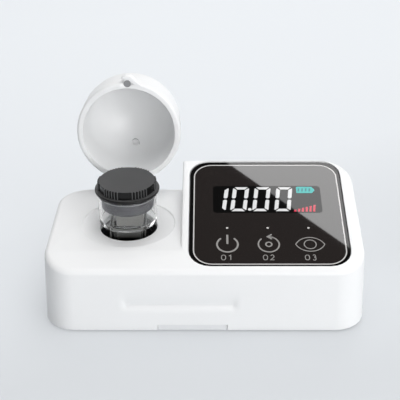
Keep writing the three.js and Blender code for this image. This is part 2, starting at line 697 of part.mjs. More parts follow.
function topShell() {
  const outer = outerBody();
  const hollow = outer.subtract(innerSpace());

  const casePosts = casePostPlaces().map(([x, y]) => {
    const roofZ = x < STEP_X ? DECK_Z - DECK_T / 2 : slopeZ(y) - ROOF_T / 2;
    return post(x, y, POST_R, BASE_Z + COVER_BOSS_H + SEAT_GAP, roofZ);
  });
  const wellPosts = wellPostPlaces().map(([x, y]) => (
    post(x, y, WELL_POST_R, HOLDER_EAR_Z + HOLDER_EAR_T + SEAT_GAP, DECK_Z - DECK_T / 2)
  ));
  const panelPosts = panelPostPlaces().map(([x, up]) => (
    post(x, up, PANEL_POST_R, PANEL_BOARD_TOP_N + SEAT_GAP, POCKET_N - SEAT_GAP, TINY_SEGMENTS, panelMatrix)
  ));
  const magnetY = WELL_Y - LID_MAGNET_AT_R;
  const bosses = [
    post(WELL_X, WELL_Y, MOUTH_BOSS_R, DECK_Z - MOUTH_BOSS_H, DECK_Z - DECK_T / 2, INNER_SEGMENTS),
    post(LID_X, magnetY, MAGNET_BOSS_R, DECK_Z - DECK_T - MAGNET_BOSS_H, DECK_Z - DECK_T / 2),
  ];
  const inside = joined(...casePosts, ...wellPosts, ...panelPosts, ...bosses).intersect(outer);
  const ears = [-HINGE_W / 2, HINGE_W / 2 - EAR_T].map((x) => hingeEar(LID_X + x));
  const full = joined(hollow, inside, ...ears);

  const caseBores = casePostPlaces().map(([x, y]) => (
    post(x, y, POST_BORE_R, BASE_Z, CASE_SCREW_TIP_Z + POST_BORE_SPARE)
  ));
  const wellBoreTop = HOLDER_EAR_Z - SEAT_GAP + WELL_SCREW_L + POST_BORE_SPARE;
  const wellBores = wellPostPlaces().map(([x, y]) => (
    post(x, y, SMALL_BORE_R, HOLDER_EAR_Z, wellBoreTop)
  ));
  const panelBoreTop = PANEL_BOARD_TOP_N - BOARD_T - SEAT_GAP + PANEL_SCREW_L + SEAT_GAP;
  const panelBores = panelPostPlaces().map(([x, up]) => (
    post(x, up, SMALL_BORE_R, PANEL_BOARD_TOP_N, panelBoreTop, TINY_SEGMENTS, panelMatrix)
  ));
  const magnetTop = DECK_Z - DECK_T;
  const magnetBore = post(
    LID_X, magnetY, BODY_MAGNET_R + SEAT_GAP, magnetTop - MAGNET_BOSS_H - OVERRUN, magnetTop, SMALL_SEGMENTS,
  );
  const pocket = roundedBlock(
    GLASS_X0 - SEAT_GAP, GLASS_X1 + SEAT_GAP, GLASS_UP0 - SEAT_GAP, GLASS_UP1 + SEAT_GAP,
    POCKET_N, OVERRUN, GLASS_R + SEAT_GAP, CORNER_STEPS, panelMatrix,
  );
  const opening = roundedBlock(
    GLASS_X0 + OPENING_LEFT, WINDOW_X1 + DISPLAY_MARGIN_X + RUN_GAP,
    GLASS_UP0 + OPENING_ENDS, GLASS_UP1 - OPENING_ENDS,
    POCKET_N - ROOF_T, 0, OPENING_R, 3, panelMatrix,
  );
  const pinBore = barAlongX(
    LID_X - HINGE_W, LID_X + HINGE_W, PIN_Y, PIN_Z, PIN_R + SEAT_GAP, SMALL_SEGMENTS,
  );
  const notch = block(
    NOTCH_X0, NOTCH_X0 + NOTCH_W, FRONT_Y - OVERRUN, FRONT_Y + WALL + OVERRUN,
    BASE_Z - OVERRUN, BASE_Z + NOTCH_H,
  );
  const usbZ = MAIN_Z + BOARD_T + SEAT_GAP + USB_H / 2;
  const slot = (width, height, y0, y1) => {
    const outline = roundedOutline(
      USB_X - width / 2, USB_X + width / 2, usbZ - height / 2, usbZ + height / 2, height / 2, 4,
    );
    return loft([y0, y1].map((y) => outline.map(([x, z]) => new THREE.Vector3(x, y, z))));
  };
  return cut(
    full, mouthCut(), scoopCut(), pocket, opening, pinBore, notch, magnetBore,
    slot(USB_W + 2 * RUN_GAP, USB_H + 2 * RUN_GAP, REAR_Y - WALL - OVERRUN, REAR_Y),
    slot(USB_RECESS_W, USB_RECESS_H, REAR_Y - USB_RECESS_T, REAR_Y + OVERRUN),
    ...caseBores, ...wellBores, ...panelBores,
  );
}

// Bottom cover: a plate let into the shell, with bosses, stand-offs, a cradle for the cell and a front tongue
function bottomCover() {
  const gap = WALL + RUN_GAP;
  const outline = roundedOutline(-HALF_W + gap, HALF_W - gap, FRONT_Y + gap, REAR_Y - gap, CORNER_R - gap);
  const plate = loft([wallRing(outline, () => BASE_Z), wallRing(outline, () => COVER_TOP_Z)]);
  const tongue = block(
    NOTCH_X0 + RUN_GAP, NOTCH_X0 + NOTCH_W - RUN_GAP,
    FRONT_Y + BASE_EDGE_R, FRONT_Y + gap + WALL, BASE_Z, BASE_Z + NOTCH_H - RUN_GAP,
  );
  const bosses = casePostPlaces().map(([x, y]) => post(x, y, COVER_BOSS_R, BASE_Z, BASE_Z + COVER_BOSS_H));
  const bossRoom = loft([wallRing(outline, () => BASE_Z), wallRing(outline, () => BASE_Z + COVER_BOSS_H)]);
  const standoffs = mainPostPlaces().map(([x, y]) => (
    post(x, y, MAIN_POST_R, COVER_TOP_Z - COVER_T / 2, MAIN_Z - SEAT_GAP)
  ));
  const cradleOut = CRADLE_T + RUN_GAP;
  const cradle = roundedBlock(
    CELL_X0 - cradleOut, CELL_X1 + cradleOut, -CELL_Y1 - cradleOut, CELL_Y1 + cradleOut,
    COVER_TOP_Z - COVER_T / 2, COVER_TOP_Z + CRADLE_H, CELL_EDGE_R + cradleOut,
  );
  const cellRoom = roundedBlock(
    CELL_X0 - RUN_GAP, CELL_X1 + RUN_GAP, -CELL_Y1 - RUN_GAP, CELL_Y1 + RUN_GAP,
    COVER_TOP_Z, COVER_TOP_Z + CRADLE_H + OVERRUN, CELL_EDGE_R + RUN_GAP,
  );
  const cellLead = block(
    CELL_X0 - cradleOut - OVERRUN, CELL_X0 + OVERRUN, -CELL_LEAD_W / 2, CELL_LEAD_W / 2,
    COVER_TOP_Z, COVER_TOP_Z + CRADLE_H + OVERRUN,
  );
  const solid = joined(
    plate, tongue, joined(...bosses).intersect(bossRoom), ...standoffs, cut(cradle, cellRoom, cellLead),
  );
  const screwRooms = casePostPlaces().flatMap(([x, y]) => [
    post(x, y, CASE_HEAD_R + RUN_GAP, BASE_Z - OVERRUN, BASE_Z + HEAD_SUNK + CASE_HEAD_T + SEAT_GAP),
    post(x, y, POST_BORE_R, BASE_Z - OVERRUN, BASE_Z + COVER_BOSS_H + OVERRUN),
  ]);
  const boardBores = mainPostPlaces().map(([x, y]) => (
    post(x, y, SMALL_BORE_R, MAIN_Z + BOARD_T - MAIN_SCREW_L, MAIN_Z + OVERRUN)
  ));
  const footRooms = footPlaces().map(([x, y]) => (
    post(x, y, FOOT_R + SEAT_GAP, BASE_Z - OVERRUN, FOOT_T + SEAT_GAP, SMALL_SEGMENTS)
  ));
  return cut(solid, ...screwRooms, ...boardBores, ...footRooms);
}

function footPlaces() {
  return [[-FOOT_X, -FOOT_Y], [FOOT_X, -FOOT_Y], [-FOOT_X, FOOT_Y], [FOOT_X, FOOT_Y]];
}

function foot(x, y) {
  return revolve([
    [0, 0], [FOOT_R - FOOT_EDGE, 0], [FOOT_R, FOOT_EDGE], [FOOT_R, FOOT_T], [0, FOOT_T],
  ], SMALL_SEGMENTS, new THREE.Matrix4().makeTranslation(x, y, 0));
}

// A plain turned screw pointing along +Z, its head's outer face at zero
function screw(headR, headT, shankR, length, matrix) {
  return revolve([
    [0, 0], [headR - headT / 2, 0], [headR, headT / 2], [headR, headT], [shankR, headT],
    [shankR, headT + length], [0, headT + length],
  ], TINY_SEGMENTS, matrix);
}

// Panel glass, with a small bevel round its upper edge
function panelGlass() {
  const ring = (n, inset) => level(roundedOutline(
    GLASS_X0 + inset, GLASS_X1 - inset, GLASS_UP0 + inset, GLASS_UP1 - inset, GLASS_R - inset,
  ), n);
  return loft([
    ring(GLASS_UNDER_N, 0), ring(-GLASS_SUNK - GLASS_BEVEL, 0), ring(-GLASS_SUNK, GLASS_BEVEL),
  ]);
}

// Display module: a stepped slab, its viewing face a little smaller than its body
function displayModule() {
  const x0 = WINDOW_X0 - DISPLAY_MARGIN_X;
  const x1 = WINDOW_X1 + DISPLAY_MARGIN_X;
  const up0 = WINDOW_UP0 - DISPLAY_MARGIN_UP;
  const up1 = WINDOW_UP1 + DISPLAY_MARGIN_UP;
  const top = PANEL_PART_TOP_N;
  const body = block(x0, x1, up0, up1, top - DISPLAY_T, top - DISPLAY_EDGE);
  const face = block(
    x0 + DISPLAY_EDGE, x1 - DISPLAY_EDGE, up0 + DISPLAY_EDGE, up1 - DISPLAY_EDGE, top - DISPLAY_T, top,
  );
  return body.add(face);
}

function panelBoard() {
  const board = roundedBlock(
    PANEL_BOARD_X0, PANEL_BOARD_X1, PANEL_BOARD_UP0, PANEL_BOARD_UP1,
    PANEL_BOARD_TOP_N - BOARD_T, PANEL_BOARD_TOP_N, BOARD_CORNER_R,
  );
  const holes = panelPostPlaces().map(([x, up]) => (
    post(x, up, SMALL_BORE_R, PANEL_BOARD_TOP_N - OVERRUN, PANEL_BOARD_TOP_N + OVERRUN)
  ));
  return cut(board, ...holes);
}

// Touch spring: a waisted sleeve that stands on the board and reaches up to the back of the glass
function touchSpring(placeShare) {
  const x = GLASS_X0 + placeShare * (GLASS_X1 - GLASS_X0);
  const top = PANEL_PART_TOP_N;
  const low = top - DISPLAY_T;
  const middle = (top + low) / 2;
  return revolve([
    [SPRING_R, low], [SPRING_WAIST_R, middle], [SPRING_R, top],
    [SPRING_R - SPRING_WIRE, top], [SPRING_WAIST_R - SPRING_WIRE, middle], [SPRING_R - SPRING_WIRE, low],
    [SPRING_R, low],
  ], TINY_SEGMENTS, new THREE.Matrix4().makeTranslation(x, KEY_UP, 0));
}

// Main board with its larger components, which are soldered to it
function mainBoard() {
  const z1 = MAIN_Z + BOARD_T;
  const board = roundedBlock(
    MAIN_X0, MAIN_X1, -MAIN_Y1, MAIN_Y1, MAIN_Z, z1, BOARD_CORNER_R,
  );
  const chip = block(
    MAIN_MID_X - CHIP_W / 2, MAIN_MID_X + CHIP_W / 2, -CHIP_W / 2, CHIP_W / 2, z1 - BOARD_T / 2, z1 + CHIP_T,
  );
  const socket = block(
    MAIN_X0, MAIN_X0 + SOCKET_L, -SOCKET_W / 2, SOCKET_W / 2, z1 - BOARD_T / 2, z1 + SOCKET_T,
  );
  const holes = mainPostPlaces().map(([x, y]) => (
    post(x, y, SMALL_BORE_R, MAIN_Z - OVERRUN, z1 + OVERRUN)
  ));
  return cut(joined(board, chip, socket), ...holes);
}

function batteryCell() {
  const z0 = COVER_TOP_Z + SEAT_GAP;
  return roundedBlock(CELL_X0, CELL_X1, -CELL_Y1, CELL_Y1, z0, z0 + CELL_T, CELL_EDGE_R, 4);
}

function batteryPad() {
  const z0 = COVER_TOP_Z + CELL_T + 2 * SEAT_GAP;
  const padY1 = CELL_Y1 - PAD_END_IN;
  return block(CELL_X0 + PAD_SIDE_IN, CELL_X1 - PAD_SIDE_IN, -padY1, padY1, z0, z0 + PAD_T);
}

function usbSocket() {
  const z = MAIN_Z + BOARD_T + SEAT_GAP + USB_H / 2;
  const y1 = REAR_Y - USB_RECESS_T - USB_SUNK;
  const tube = (inset, ya, yb) => {
    const halfH = USB_H / 2 - inset;
    const halfW = USB_W / 2 - inset;
    const outline = roundedOutline(USB_X - halfW, USB_X + halfW, z - halfH, z + halfH, halfH, 4);
    return loft([ya, yb].map((y) => outline.map(([x, h]) => new THREE.Vector3(x, y, h))));
  };
  const tongue = block(
    USB_X - USB_TONGUE_W / 2, USB_X + USB_TONGUE_W / 2, y1 - USB_DEPTH - SEAT_GAP, y1 - USB_SUNK,
    z - USB_TONGUE_T / 2, z + USB_TONGUE_T / 2,
  );
  return tube(0, y1 - USB_L, y1).subtract(tube(USB_SKIN, y1 - USB_DEPTH, y1 + OVERRUN)).add(tongue);
}

// Sample well: a stepped round mouth over a square socket, with a tube for the lamp on one side and a tube
// for the filter and detector on the other
function sampleWell() {
  const at = new THREE.Matrix4().makeTranslation(WELL_X, WELL_Y, 0);
  const floorZ = HOLDER_TOP_Z - HOLDER_FLOOR_DOWN;
  const collar = post(WELL_X, WELL_Y, HOLDER_TOP_R, HOLDER_COLLAR_Z, HOLDER_TOP_Z, INNER_SEGMENTS);
  const body = roundedBlock(
    WELL_X - HOLDER_HALF, WELL_X + HOLDER_HALF, WELL_Y - HOLDER_HALF, WELL_Y + HOLDER_HALF,
    HOLDER_BOTTOM_Z, HOLDER_COLLAR_Z + HOLDER_EAR_T, HOLDER_CORNER_R,
  );
  const diagonal = new THREE.Matrix4().makeRotationZ(Math.PI / 4);
  diagonal.setPosition(WELL_X, WELL_Y, 0);
  const arm = block(
    -EAR_SPAN, EAR_SPAN, -HOLDER_EAR_R, HOLDER_EAR_R, HOLDER_EAR_Z, HOLDER_EAR_Z + HOLDER_EAR_T, diagonal,
  );
  const ears = wellPostPlaces().map(([x, y]) => (
    post(x, y, HOLDER_EAR_R, HOLDER_EAR_Z, HOLDER_EAR_Z + HOLDER_EAR_T)
  ));
  const tubes = [
    barAlongX(LAMP_TUBE_X, WELL_X - HOLDER_HALF + HOLDER_WALL / 2, WELL_Y, OPTIC_Z, LAMP_TUBE_R),
    barAlongX(WELL_X + HOLDER_HALF - HOLDER_WALL / 2, WELL_X + TUBE_END, WELL_Y, OPTIC_Z, DETECT_TUBE_R),
  ];
  const bore = revolve([
    [0, HOLDER_TOP_Z + OVERRUN],
    [HOLDER_BORE_R, HOLDER_TOP_Z + OVERRUN],
    [HOLDER_BORE_R, HOLDER_TOP_Z - HOLDER_STEP1_DOWN],
    [HOLDER_STEP1_R, HOLDER_TOP_Z - HOLDER_STEP1_DOWN],
    [HOLDER_STEP1_R, HOLDER_TOP_Z - HOLDER_STEP2_DOWN],
    [HOLDER_STEP2_R, HOLDER_TOP_Z - HOLDER_STEP2_DOWN],
    [HOLDER_STEP2_R, floorZ],
    [0, floorZ],
  ], INNER_SEGMENTS, at);
  const socket = roundedBlock(
    WELL_X - SOCKET_HALF, WELL_X + SOCKET_HALF, WELL_Y - SOCKET_HALF, WELL_Y + SOCKET_HALF,
    HOLDER_BOTTOM_Z + HOLDER_BOTTOM_T, floorZ + OVERRUN, VIAL_CORNER_R,
  );
  const port = barAlongX(LAMP_TUBE_X, WELL_X + TUBE_END, WELL_Y, OPTIC_Z, PORT_R);
  const lampRoom = barAlongX(
    LAMP_TUBE_X - OVERRUN, WELL_X - HOLDER_HALF, WELL_Y, OPTIC_Z, LAMP_FLANGE_R + SEAT_GAP,
  );
  const detectRoom = barAlongX(
    WELL_X + HOLDER_HALF, WELL_X + TUBE_END + OVERRUN, WELL_Y, OPTIC_Z, FILTER_R + SEAT_GAP,
  );
  const screwHoles = wellPostPlaces().map(([x, y]) => (
    post(x, y, SMALL_BORE_R, HOLDER_EAR_Z - OVERRUN, HOLDER_EAR_Z + 2 * OVERRUN)
  ));
  const full = joined(collar, body, arm, ...ears, ...tubes);
  return cut(full, bore, socket, port, lampRoom, detectRoom, ...screwHoles);
}

// Turned parts of the light path: profiles drawn along their own axis, laid along X
function alongX(x, direction) {
  const matrix = new THREE.Matrix4().makeRotationY(direction * (Math.PI / 2));
  matrix.setPosition(x, WELL_Y, OPTIC_Z);
  return matrix;
}

const FILTER_SEAT_X = WELL_X + HOLDER_HALF + SEAT_GAP;

function sourceLamp() {
  const dome = Array.from({ length: EDGE_STEPS + 1 }, (_, i) => {
    const angle = (i / EDGE_STEPS) * (Math.PI / 2);
    return [LAMP_R * Math.cos(angle), LAMP_L - LAMP_R + LAMP_R * Math.sin(angle)];
  });
  return revolve([
    [0, 0], [LAMP_FLANGE_R, 0], [LAMP_FLANGE_R, LAMP_FLANGE_T], [LAMP_R, LAMP_FLANGE_T], ...dome,
  ], SMALL_SEGMENTS, alongX(LAMP_BASE_X, 1));
}

function interferenceFilter() {
  return revolve([
    [0, 0], [FILTER_R, 0], [FILTER_R, FILTER_T], [0, FILTER_T],
  ], SMALL_SEGMENTS, alongX(FILTER_SEAT_X, 1));
}

function photodiode() {
  const x = FILTER_SEAT_X + FILTER_T + SEAT_GAP;
  return revolve([
    [0, 0], [DIODE_CAN_R, 0], [DIODE_CAN_R, DIODE_T - DIODE_FLANGE_T], [DIODE_R, DIODE_T - DIODE_FLANGE_T],
    [DIODE_R, DIODE_T], [0, DIODE_T],
  ], SMALL_SEGMENTS, alongX(x, 1));
}

function opticBoard(side) {
  const inner = (side < 0 ? LAMP_BASE_X : WELL_X + TUBE_END) + side * SEAT_GAP;
  const outer = inner + side * BOARD_T;
  return block(
    Math.min(inner, outer), Math.max(inner, outer), WELL_Y - OPTIC_BOARD_W / 2, WELL_Y + OPTIC_BOARD_W / 2,
    OPTIC_Z - OPTIC_BOARD_H / 2, OPTIC_Z + OPTIC_BOARD_H / 2,
  );
}

function bodyMagnet() {
  const top = DECK_Z - DECK_T - SEAT_GAP;
  return post(LID_X, WELL_Y - LID_MAGNET_AT_R, BODY_MAGNET_R, top - BODY_MAGNET_T, top);
}

function hingePin() {
  const half = HINGE_W / 2 - PIN_CHAMFER;
  return revolve([
    [0, -half], [PIN_R - PIN_CHAMFER, -half], [PIN_R, -half + PIN_CHAMFER],
    [PIN_R, half - PIN_CHAMFER], [PIN_R - PIN_CHAMFER, half], [0, half],
  ], SMALL_SEGMENTS, new THREE.Matrix4().makeRotationY(Math.PI / 2).setPosition(LID_X, PIN_Y, PIN_Z));
}

// Lid, drawn closed about the axis of its dome with its rim at zero height

function domeProfile(radius, height, taper, steps) {
  const arc = Array.from({ length: steps + 1 }, (_, i) => {
    const angle = (i / steps) * (Math.PI / 2);
    return [(radius - taper) * Math.cos(angle), LID_SKIRT_H + height * Math.sin(angle)];
  });
  arc[steps][0] = 0;
  return arc;
}

function lidShell() {
  const rimRound = Array.from({ length: EDGE_STEPS }, (_, i) => {
    const angle = (i / EDGE_STEPS) * (Math.PI / 2);
    return [LID_R - LID_RIM_ROUND * (1 - Math.sin(angle)), LID_RIM_ROUND * (1 - Math.cos(angle))];
  });
  const outer = revolve([
    [0, 0], ...rimRound, [LID_R, LID_RIM_ROUND],
    ...domeProfile(LID_R, LID_DOME_H, LID_SKIRT_TAPER, DOME_STEPS),
  ], LID_SEGMENTS);
  const innerR = LID_R - LID_WALL_T;
  const inner = revolve([
    [0, -OVERRUN], [innerR + LID_RIM_LEAD, -OVERRUN], [innerR + LID_RIM_LEAD, 0], [innerR, LID_RIM_LEAD],
    ...domeProfile(innerR, LID_DOME_H - LID_WALL_T, LID_SKIRT_TAPER, INNER_DOME_STEPS),
  ], LID_SEGMENTS);

  const tipY = -(TAB_REACH - TAB_TIP_R);
  const rootY = -(LID_R - LID_WALL_T);
  const tipR = TAB_TIP_R - TAB_BEVEL;
  const rootHalf = TAB_ROOT_HALF - TAB_BEVEL;
  const touch = Math.atan2(rootY - tipY, rootHalf) - Math.acos(tipR / Math.hypot(rootHalf, rootY - tipY));
  const tabShape = new THREE.Shape();
  tabShape.moveTo(-rootHalf, rootY);
  tabShape.absarc(0, tipY, tipR, Math.PI - touch, touch, false);
  tabShape.lineTo(rootHalf, rootY);
  tabShape.closePath();
  const tabGeometry = new THREE.ExtrudeGeometry(tabShape, {
    depth: TAB_H - 2 * TAB_BEVEL, bevelEnabled: true, bevelThickness: TAB_BEVEL, bevelSize: TAB_BEVEL,
    bevelSegments: 2, curveSegments: CORNER_STEPS,
  });
  tabGeometry.translate(0, 0, TAB_BEVEL);
  const tab = solidOf(tabGeometry);

  const pinY = HINGE_BACK;
  const pinZ = PIN_Z - LID_SEAT_Z;
  const knuckleHalf = HINGE_W / 2 - EAR_T - RUN_GAP;
  const armShape = new THREE.Shape();
  armShape.moveTo(LID_R - ARM_SINK, ARM_UNDER_H);
  armShape.lineTo(pinY, pinZ - KNUCKLE_R);
  armShape.absarc(pinY, pinZ, KNUCKLE_R, -Math.PI / 2, Math.PI / 2, false);
  armShape.lineTo(LID_R - ARM_SINK, ARM_TOP_H);
  armShape.closePath();
  const arm = runAlongX(armShape, -knuckleHalf, knuckleHalf);
  const heelReach = HINGE_RISE - SEAT_GAP;
  const heelMatrix = new THREE.Matrix4().makeRotationX(THREE.MathUtils.degToRad(LID_OPEN_DEG) - Math.PI / 2);
  heelMatrix.setPosition(0, pinY, pinZ);
  const heel = block(-knuckleHalf / 2, knuckleHalf / 2, 0, heelReach, -HEEL_HALF, HEEL_HALF, heelMatrix);
  const pinBore = barAlongX(-HINGE_W, HINGE_W, pinY, pinZ, PIN_R + SEAT_GAP, SMALL_SEGMENTS);

  const magnetRoom = post(
    0, -LID_MAGNET_AT_R, LID_MAGNET_R + SEAT_GAP, -OVERRUN, LID_MAGNET_T + 2 * SEAT_GAP, SMALL_SEGMENTS,
  );
  const markR = Math.hypot(LID_MARK_X, LID_MARK_BACK) / (innerR - LID_SKIRT_TAPER);
  const markZ = LID_SKIRT_H + (LID_DOME_H - LID_WALL_T) * Math.sqrt(1 - markR * markR);
  const mark = solidOf(new THREE.SphereGeometry(LID_MARK_R, TINY_SEGMENTS, TINY_SEGMENTS / 2)
    .translate(LID_MARK_X, LID_MARK_BACK, markZ + LID_MARK_DEPTH - LID_MARK_R / 2));
  return cut(joined(outer, tab, arm, heel), inner, pinBore, magnetRoom, mark);
}

function lidMagnet() {
  return post(0, -LID_MAGNET_AT_R, LID_MAGNET_R, SEAT_GAP, SEAT_GAP + LID_MAGNET_T, SMALL_SEGMENTS);
}

// Vial: square body, short sloping shoulder, round neck, drawn about its own axis at its real heights

// Distance from the axis to a rounded square, in a direction
function squareReach(angle, half, radius) {
  const [c, s] = [Math.abs(Math.cos(angle)), Math.abs(Math.sin(angle))];
  const flat = half / Math.max(c, s);
  const centre = half - radius;
  if (flat * Math.min(c, s) <= centre) return flat;
  const along = centre * (c + s);
  return along + Math.sqrt(along * along - 2 * centre * centre + radius * radius);
}

function vialRing(z, reachAt) {
  return Array.from({ length: VIAL_POINTS }, (_, i) => {
    const angle = ((i + 0.5) / VIAL_POINTS) * 2 * Math.PI;
    const reach = reachAt(angle);
    return new THREE.Vector3(reach * Math.cos(angle), reach * Math.sin(angle), z);
  });
}

function vialSkin(half, cornerR, neckR, bottomZ, topZ, edge, shoulderDrop) {
  const square = (inset) => (angle) => squareReach(angle, half - inset, cornerR - inset);
  const round = () => neckR;
  const blend = (share) => (angle) => square(0)(angle) * (1 - share) + neckR * share;
  const shoulderZ = VIAL_SHOULDER_Z - shoulderDrop;
  return [
    vialRing(bottomZ, square(edge)),
    vialRing(bottomZ + edge, square(0)),
    vialRing(shoulderZ, square(0)),
    ...SHOULDER_RISE_SHARES.map((rise, i) => (
      vialRing(shoulderZ + VIAL_SHOULDER_H * rise, blend(SHOULDER_ROUND_SHARES[i]))
    )),
    vialRing(shoulderZ + VIAL_SHOULDER_H, round),
    vialRing(topZ, round),
  ];
}

function vialGlass() {
  const outerRings = vialSkin(
    VIAL_HALF, VIAL_CORNER_R, VIAL_NECK_R, VIAL_BOTTOM_Z, VIAL_RIM_Z - VIAL_EDGE_R, VIAL_EDGE_R, 0,
  );
  outerRings.push(vialRing(VIAL_RIM_Z, () => VIAL_NECK_R - VIAL_EDGE_R));
  const innerRings = vialSkin(
    VIAL_HALF - VIAL_WALL, VIAL_CORNER_R - VIAL_WALL / 2, VIAL_NECK_R - VIAL_NECK_WALL,
    VIAL_BOTTOM_Z + VIAL_FLOOR_T, VIAL_RIM_Z + OVERRUN, VIAL_EDGE_R, -VIAL_WALL / 2,
  );
  return loft(outerRings).subtract(loft(innerRings));
}

// Knurled cap: groups of fine grooves with smooth stretches between them
function knurlOutline() {
  const outline = [];
  const period = (2 * Math.PI) / KNURL_GROUPS;
  const groove = (period * KNURL_GROUP_SHARE) / GROOVES_PER_GROUP;
  const smooth = period * (1 - KNURL_GROUP_SHARE);
  const add = (angle, radius) => outline.push([radius * Math.cos(angle), radius * Math.sin(angle)]);
  for (let group = 0; group < KNURL_GROUPS; group += 1) {
    const start = group * period + smooth / 2 - Math.PI / 2;
    for (let i = 0; i < GROOVES_PER_GROUP; i += 1) {
      const at = start + i * groove;
      const depths = [0, KNURL_DEPTH, KNURL_DEPTH, 0];
      GROOVE_SHARES.forEach((share, k) => add(at + groove * share, KNURL_R - depths[k]));
    }
    SMOOTH_SHARES.forEach((share) => add(start + period - smooth + smooth * share, KNURL_R));
  }
  return outline;
}

function stopperCap() {
  const flangeTop = CAP_FLANGE_Z + CAP_FLANGE_T;
  const knurlTop = flangeTop + KNURL_H;
  const knurl = loft([level(knurlOutline(), flangeTop - CAP_FLANGE_T / 2), level(knurlOutline(), knurlTop)]);
  const seatZ = VIAL_RIM_Z + SEAT_GAP;
  const core = revolve([
    [0, seatZ - CAP_SPIGOT_H], [CAP_SPIGOT_R, seatZ - CAP_SPIGOT_H], [CAP_SPIGOT_R, seatZ],
    [CAP_SEAT_R, seatZ], [CAP_SEAT_R, CAP_FLANGE_Z], [CAP_FLANGE_R - VIAL_EDGE_R, CAP_FLANGE_Z],
    [CAP_FLANGE_R, CAP_FLANGE_Z + VIAL_EDGE_R], [CAP_FLANGE_R, flangeTop - VIAL_EDGE_R],
    [CAP_FLANGE_R - VIAL_EDGE_R, flangeTop], [CAP_TOP_R, flangeTop], [CAP_TOP_R, flangeTop + VIAL_EDGE_R],
    [0, flangeTop + VIAL_EDGE_R],
  ], ROUND_SEGMENTS);
  const top = revolve([
    [0, knurlTop - CAP_TOP_H], [KNURL_R - KNURL_DEPTH - SKIM, knurlTop - CAP_TOP_H],
    [KNURL_R - KNURL_DEPTH - SKIM, knurlTop], [CAP_TOP_R, knurlTop + CAP_TOP_H], [0, knurlTop + CAP_TOP_H],
  ], ROUND_SEGMENTS);
  return joined(core, knurl, top);
}

// Plug: a soft sleeve round the cap's spigot, with low sealing ribs
function stopperPlug() {
  const topZ = VIAL_RIM_Z;
  const lowZ = topZ - PLUG_H;
  const bodyR = PLUG_R - PLUG_RIB_DEPTH;
  const ribs = [];
  const pitch = (PLUG_H - 2 * PLUG_CHAMFER) / PLUG_RIBS;
  for (let i = 0; i < PLUG_RIBS; i += 1) {
    const z = lowZ + PLUG_CHAMFER + (i + 0.5) * pitch;
    ribs.push([bodyR, z - PLUG_RIB_H / 2], [PLUG_R, z], [bodyR, z + PLUG_RIB_H / 2]);
  }
  const body = revolve([
    [0, lowZ], [bodyR - PLUG_CHAMFER, lowZ], [bodyR, lowZ + PLUG_CHAMFER], ...ribs, [bodyR, topZ], [0, topZ],
  ], INNER_SEGMENTS);
  const spigotRoom = post(
    0, 0, CAP_SPIGOT_R + SEAT_GAP, VIAL_RIM_Z - CAP_SPIGOT_H, topZ + OVERRUN, SMALL_SEGMENTS,
  );
  return body.subtract(spigotRoom);
}

// Materials

function finish(color, roughness, metalness = 0, extra = {}) {
  return new THREE.MeshStandardMaterial({ color, roughness, metalness, ...extra });
}

const white = finish(0xeff1f3, 0.38);
const whiteInside = finish(0xe6e8ea, 0.55);
const black = finish(0x1c1c1e, 0.5);
const capBlack = finish(0x2a2a2b, 0.55);
const plugGrey = finish(0x6a6a6e, 0.7);
const panelBlack = finish(0x221e1c, 0.08);
const clearGlass = finish(0xf2f6f6, 0.03, 0, { transparent: true, opacity: 0.3 });
const rubber = finish(0x26262a, 0.85);
const steel = finish(0xb8bbbe, 0.3, 1);
const boardGreen = finish(0x1f5a3a, 0.55);
const displayGrey = finish(0x2c2f33, 0.4);
const cellSilver = finish(0xb9bec4, 0.45);
const foam = finish(0x3a3a3d, 0.95);
const filterTint = finish(0x4d8f6a, 0.1);
const magnetGrey = finish(0x55585b, 0.35, 1);

// Assembly

function mesh(name, solid, material, parent) {
  const part = new THREE.Mesh(geometryOf(solid), material);
  part.name = name;
  parent.add(part);
  return part;
}

const model = new THREE.Group();

function addHousing() {
  mesh('top_shell', topShell(), white, model);
  mesh('bottom_cover', bottomCover(), whiteInside, model);
  const footNames = ['foot_front_left', 'foot_front_right', 'foot_rear_left', 'foot_rear_right'];
  footPlaces().forEach(([x, y], i) => mesh(footNames[i], foot(x, y), rubber, model));
  casePostPlaces().forEach(([x, y], i) => {
    const at = new THREE.Matrix4().makeTranslation(x, y, BASE_Z + HEAD_SUNK);
    const solid = screw(CASE_HEAD_R, CASE_HEAD_T, CASE_SCREW_R, CASE_SCREW_L, at);
    mesh(`case_screw_${i + 1}`, solid, steel, model);
  });
  mesh('hinge_pin', hingePin(), steel, model);
  mesh('body_magnet', bodyMagnet(), magnetGrey, model);
}

function addPanel() {
  const panel = new THREE.Group();
  panel.position.set(0, CREASE_Y, DECK_Z);
  panel.rotation.x = TILT;
  model.add(panel);
  mesh('panel_glass', panelGlass(), panelBlack, panel);
  mesh('display_module', displayModule(), displayGrey, panel);
  mesh('panel_board', panelBoard(), boardGreen, panel);
  ['power', 'zero', 'read'].forEach((key, i) => (
    mesh(`touch_spring_${key}`, touchSpring(KEY_PLACE_SHARES[i]), steel, panel)
  ));
  panelPostPlaces().forEach(([x, up], i) => {
    const headN = PANEL_BOARD_TOP_N - BOARD_T - SEAT_GAP - SMALL_HEAD_T;
    const at = new THREE.Matrix4().makeTranslation(x, up, headN);
    const solid = screw(SMALL_HEAD_R, SMALL_HEAD_T, SMALL_SCREW_R, PANEL_SCREW_L, at);
    mesh(`panel_screw_${i + 1}`, solid, steel, panel);
  });
}

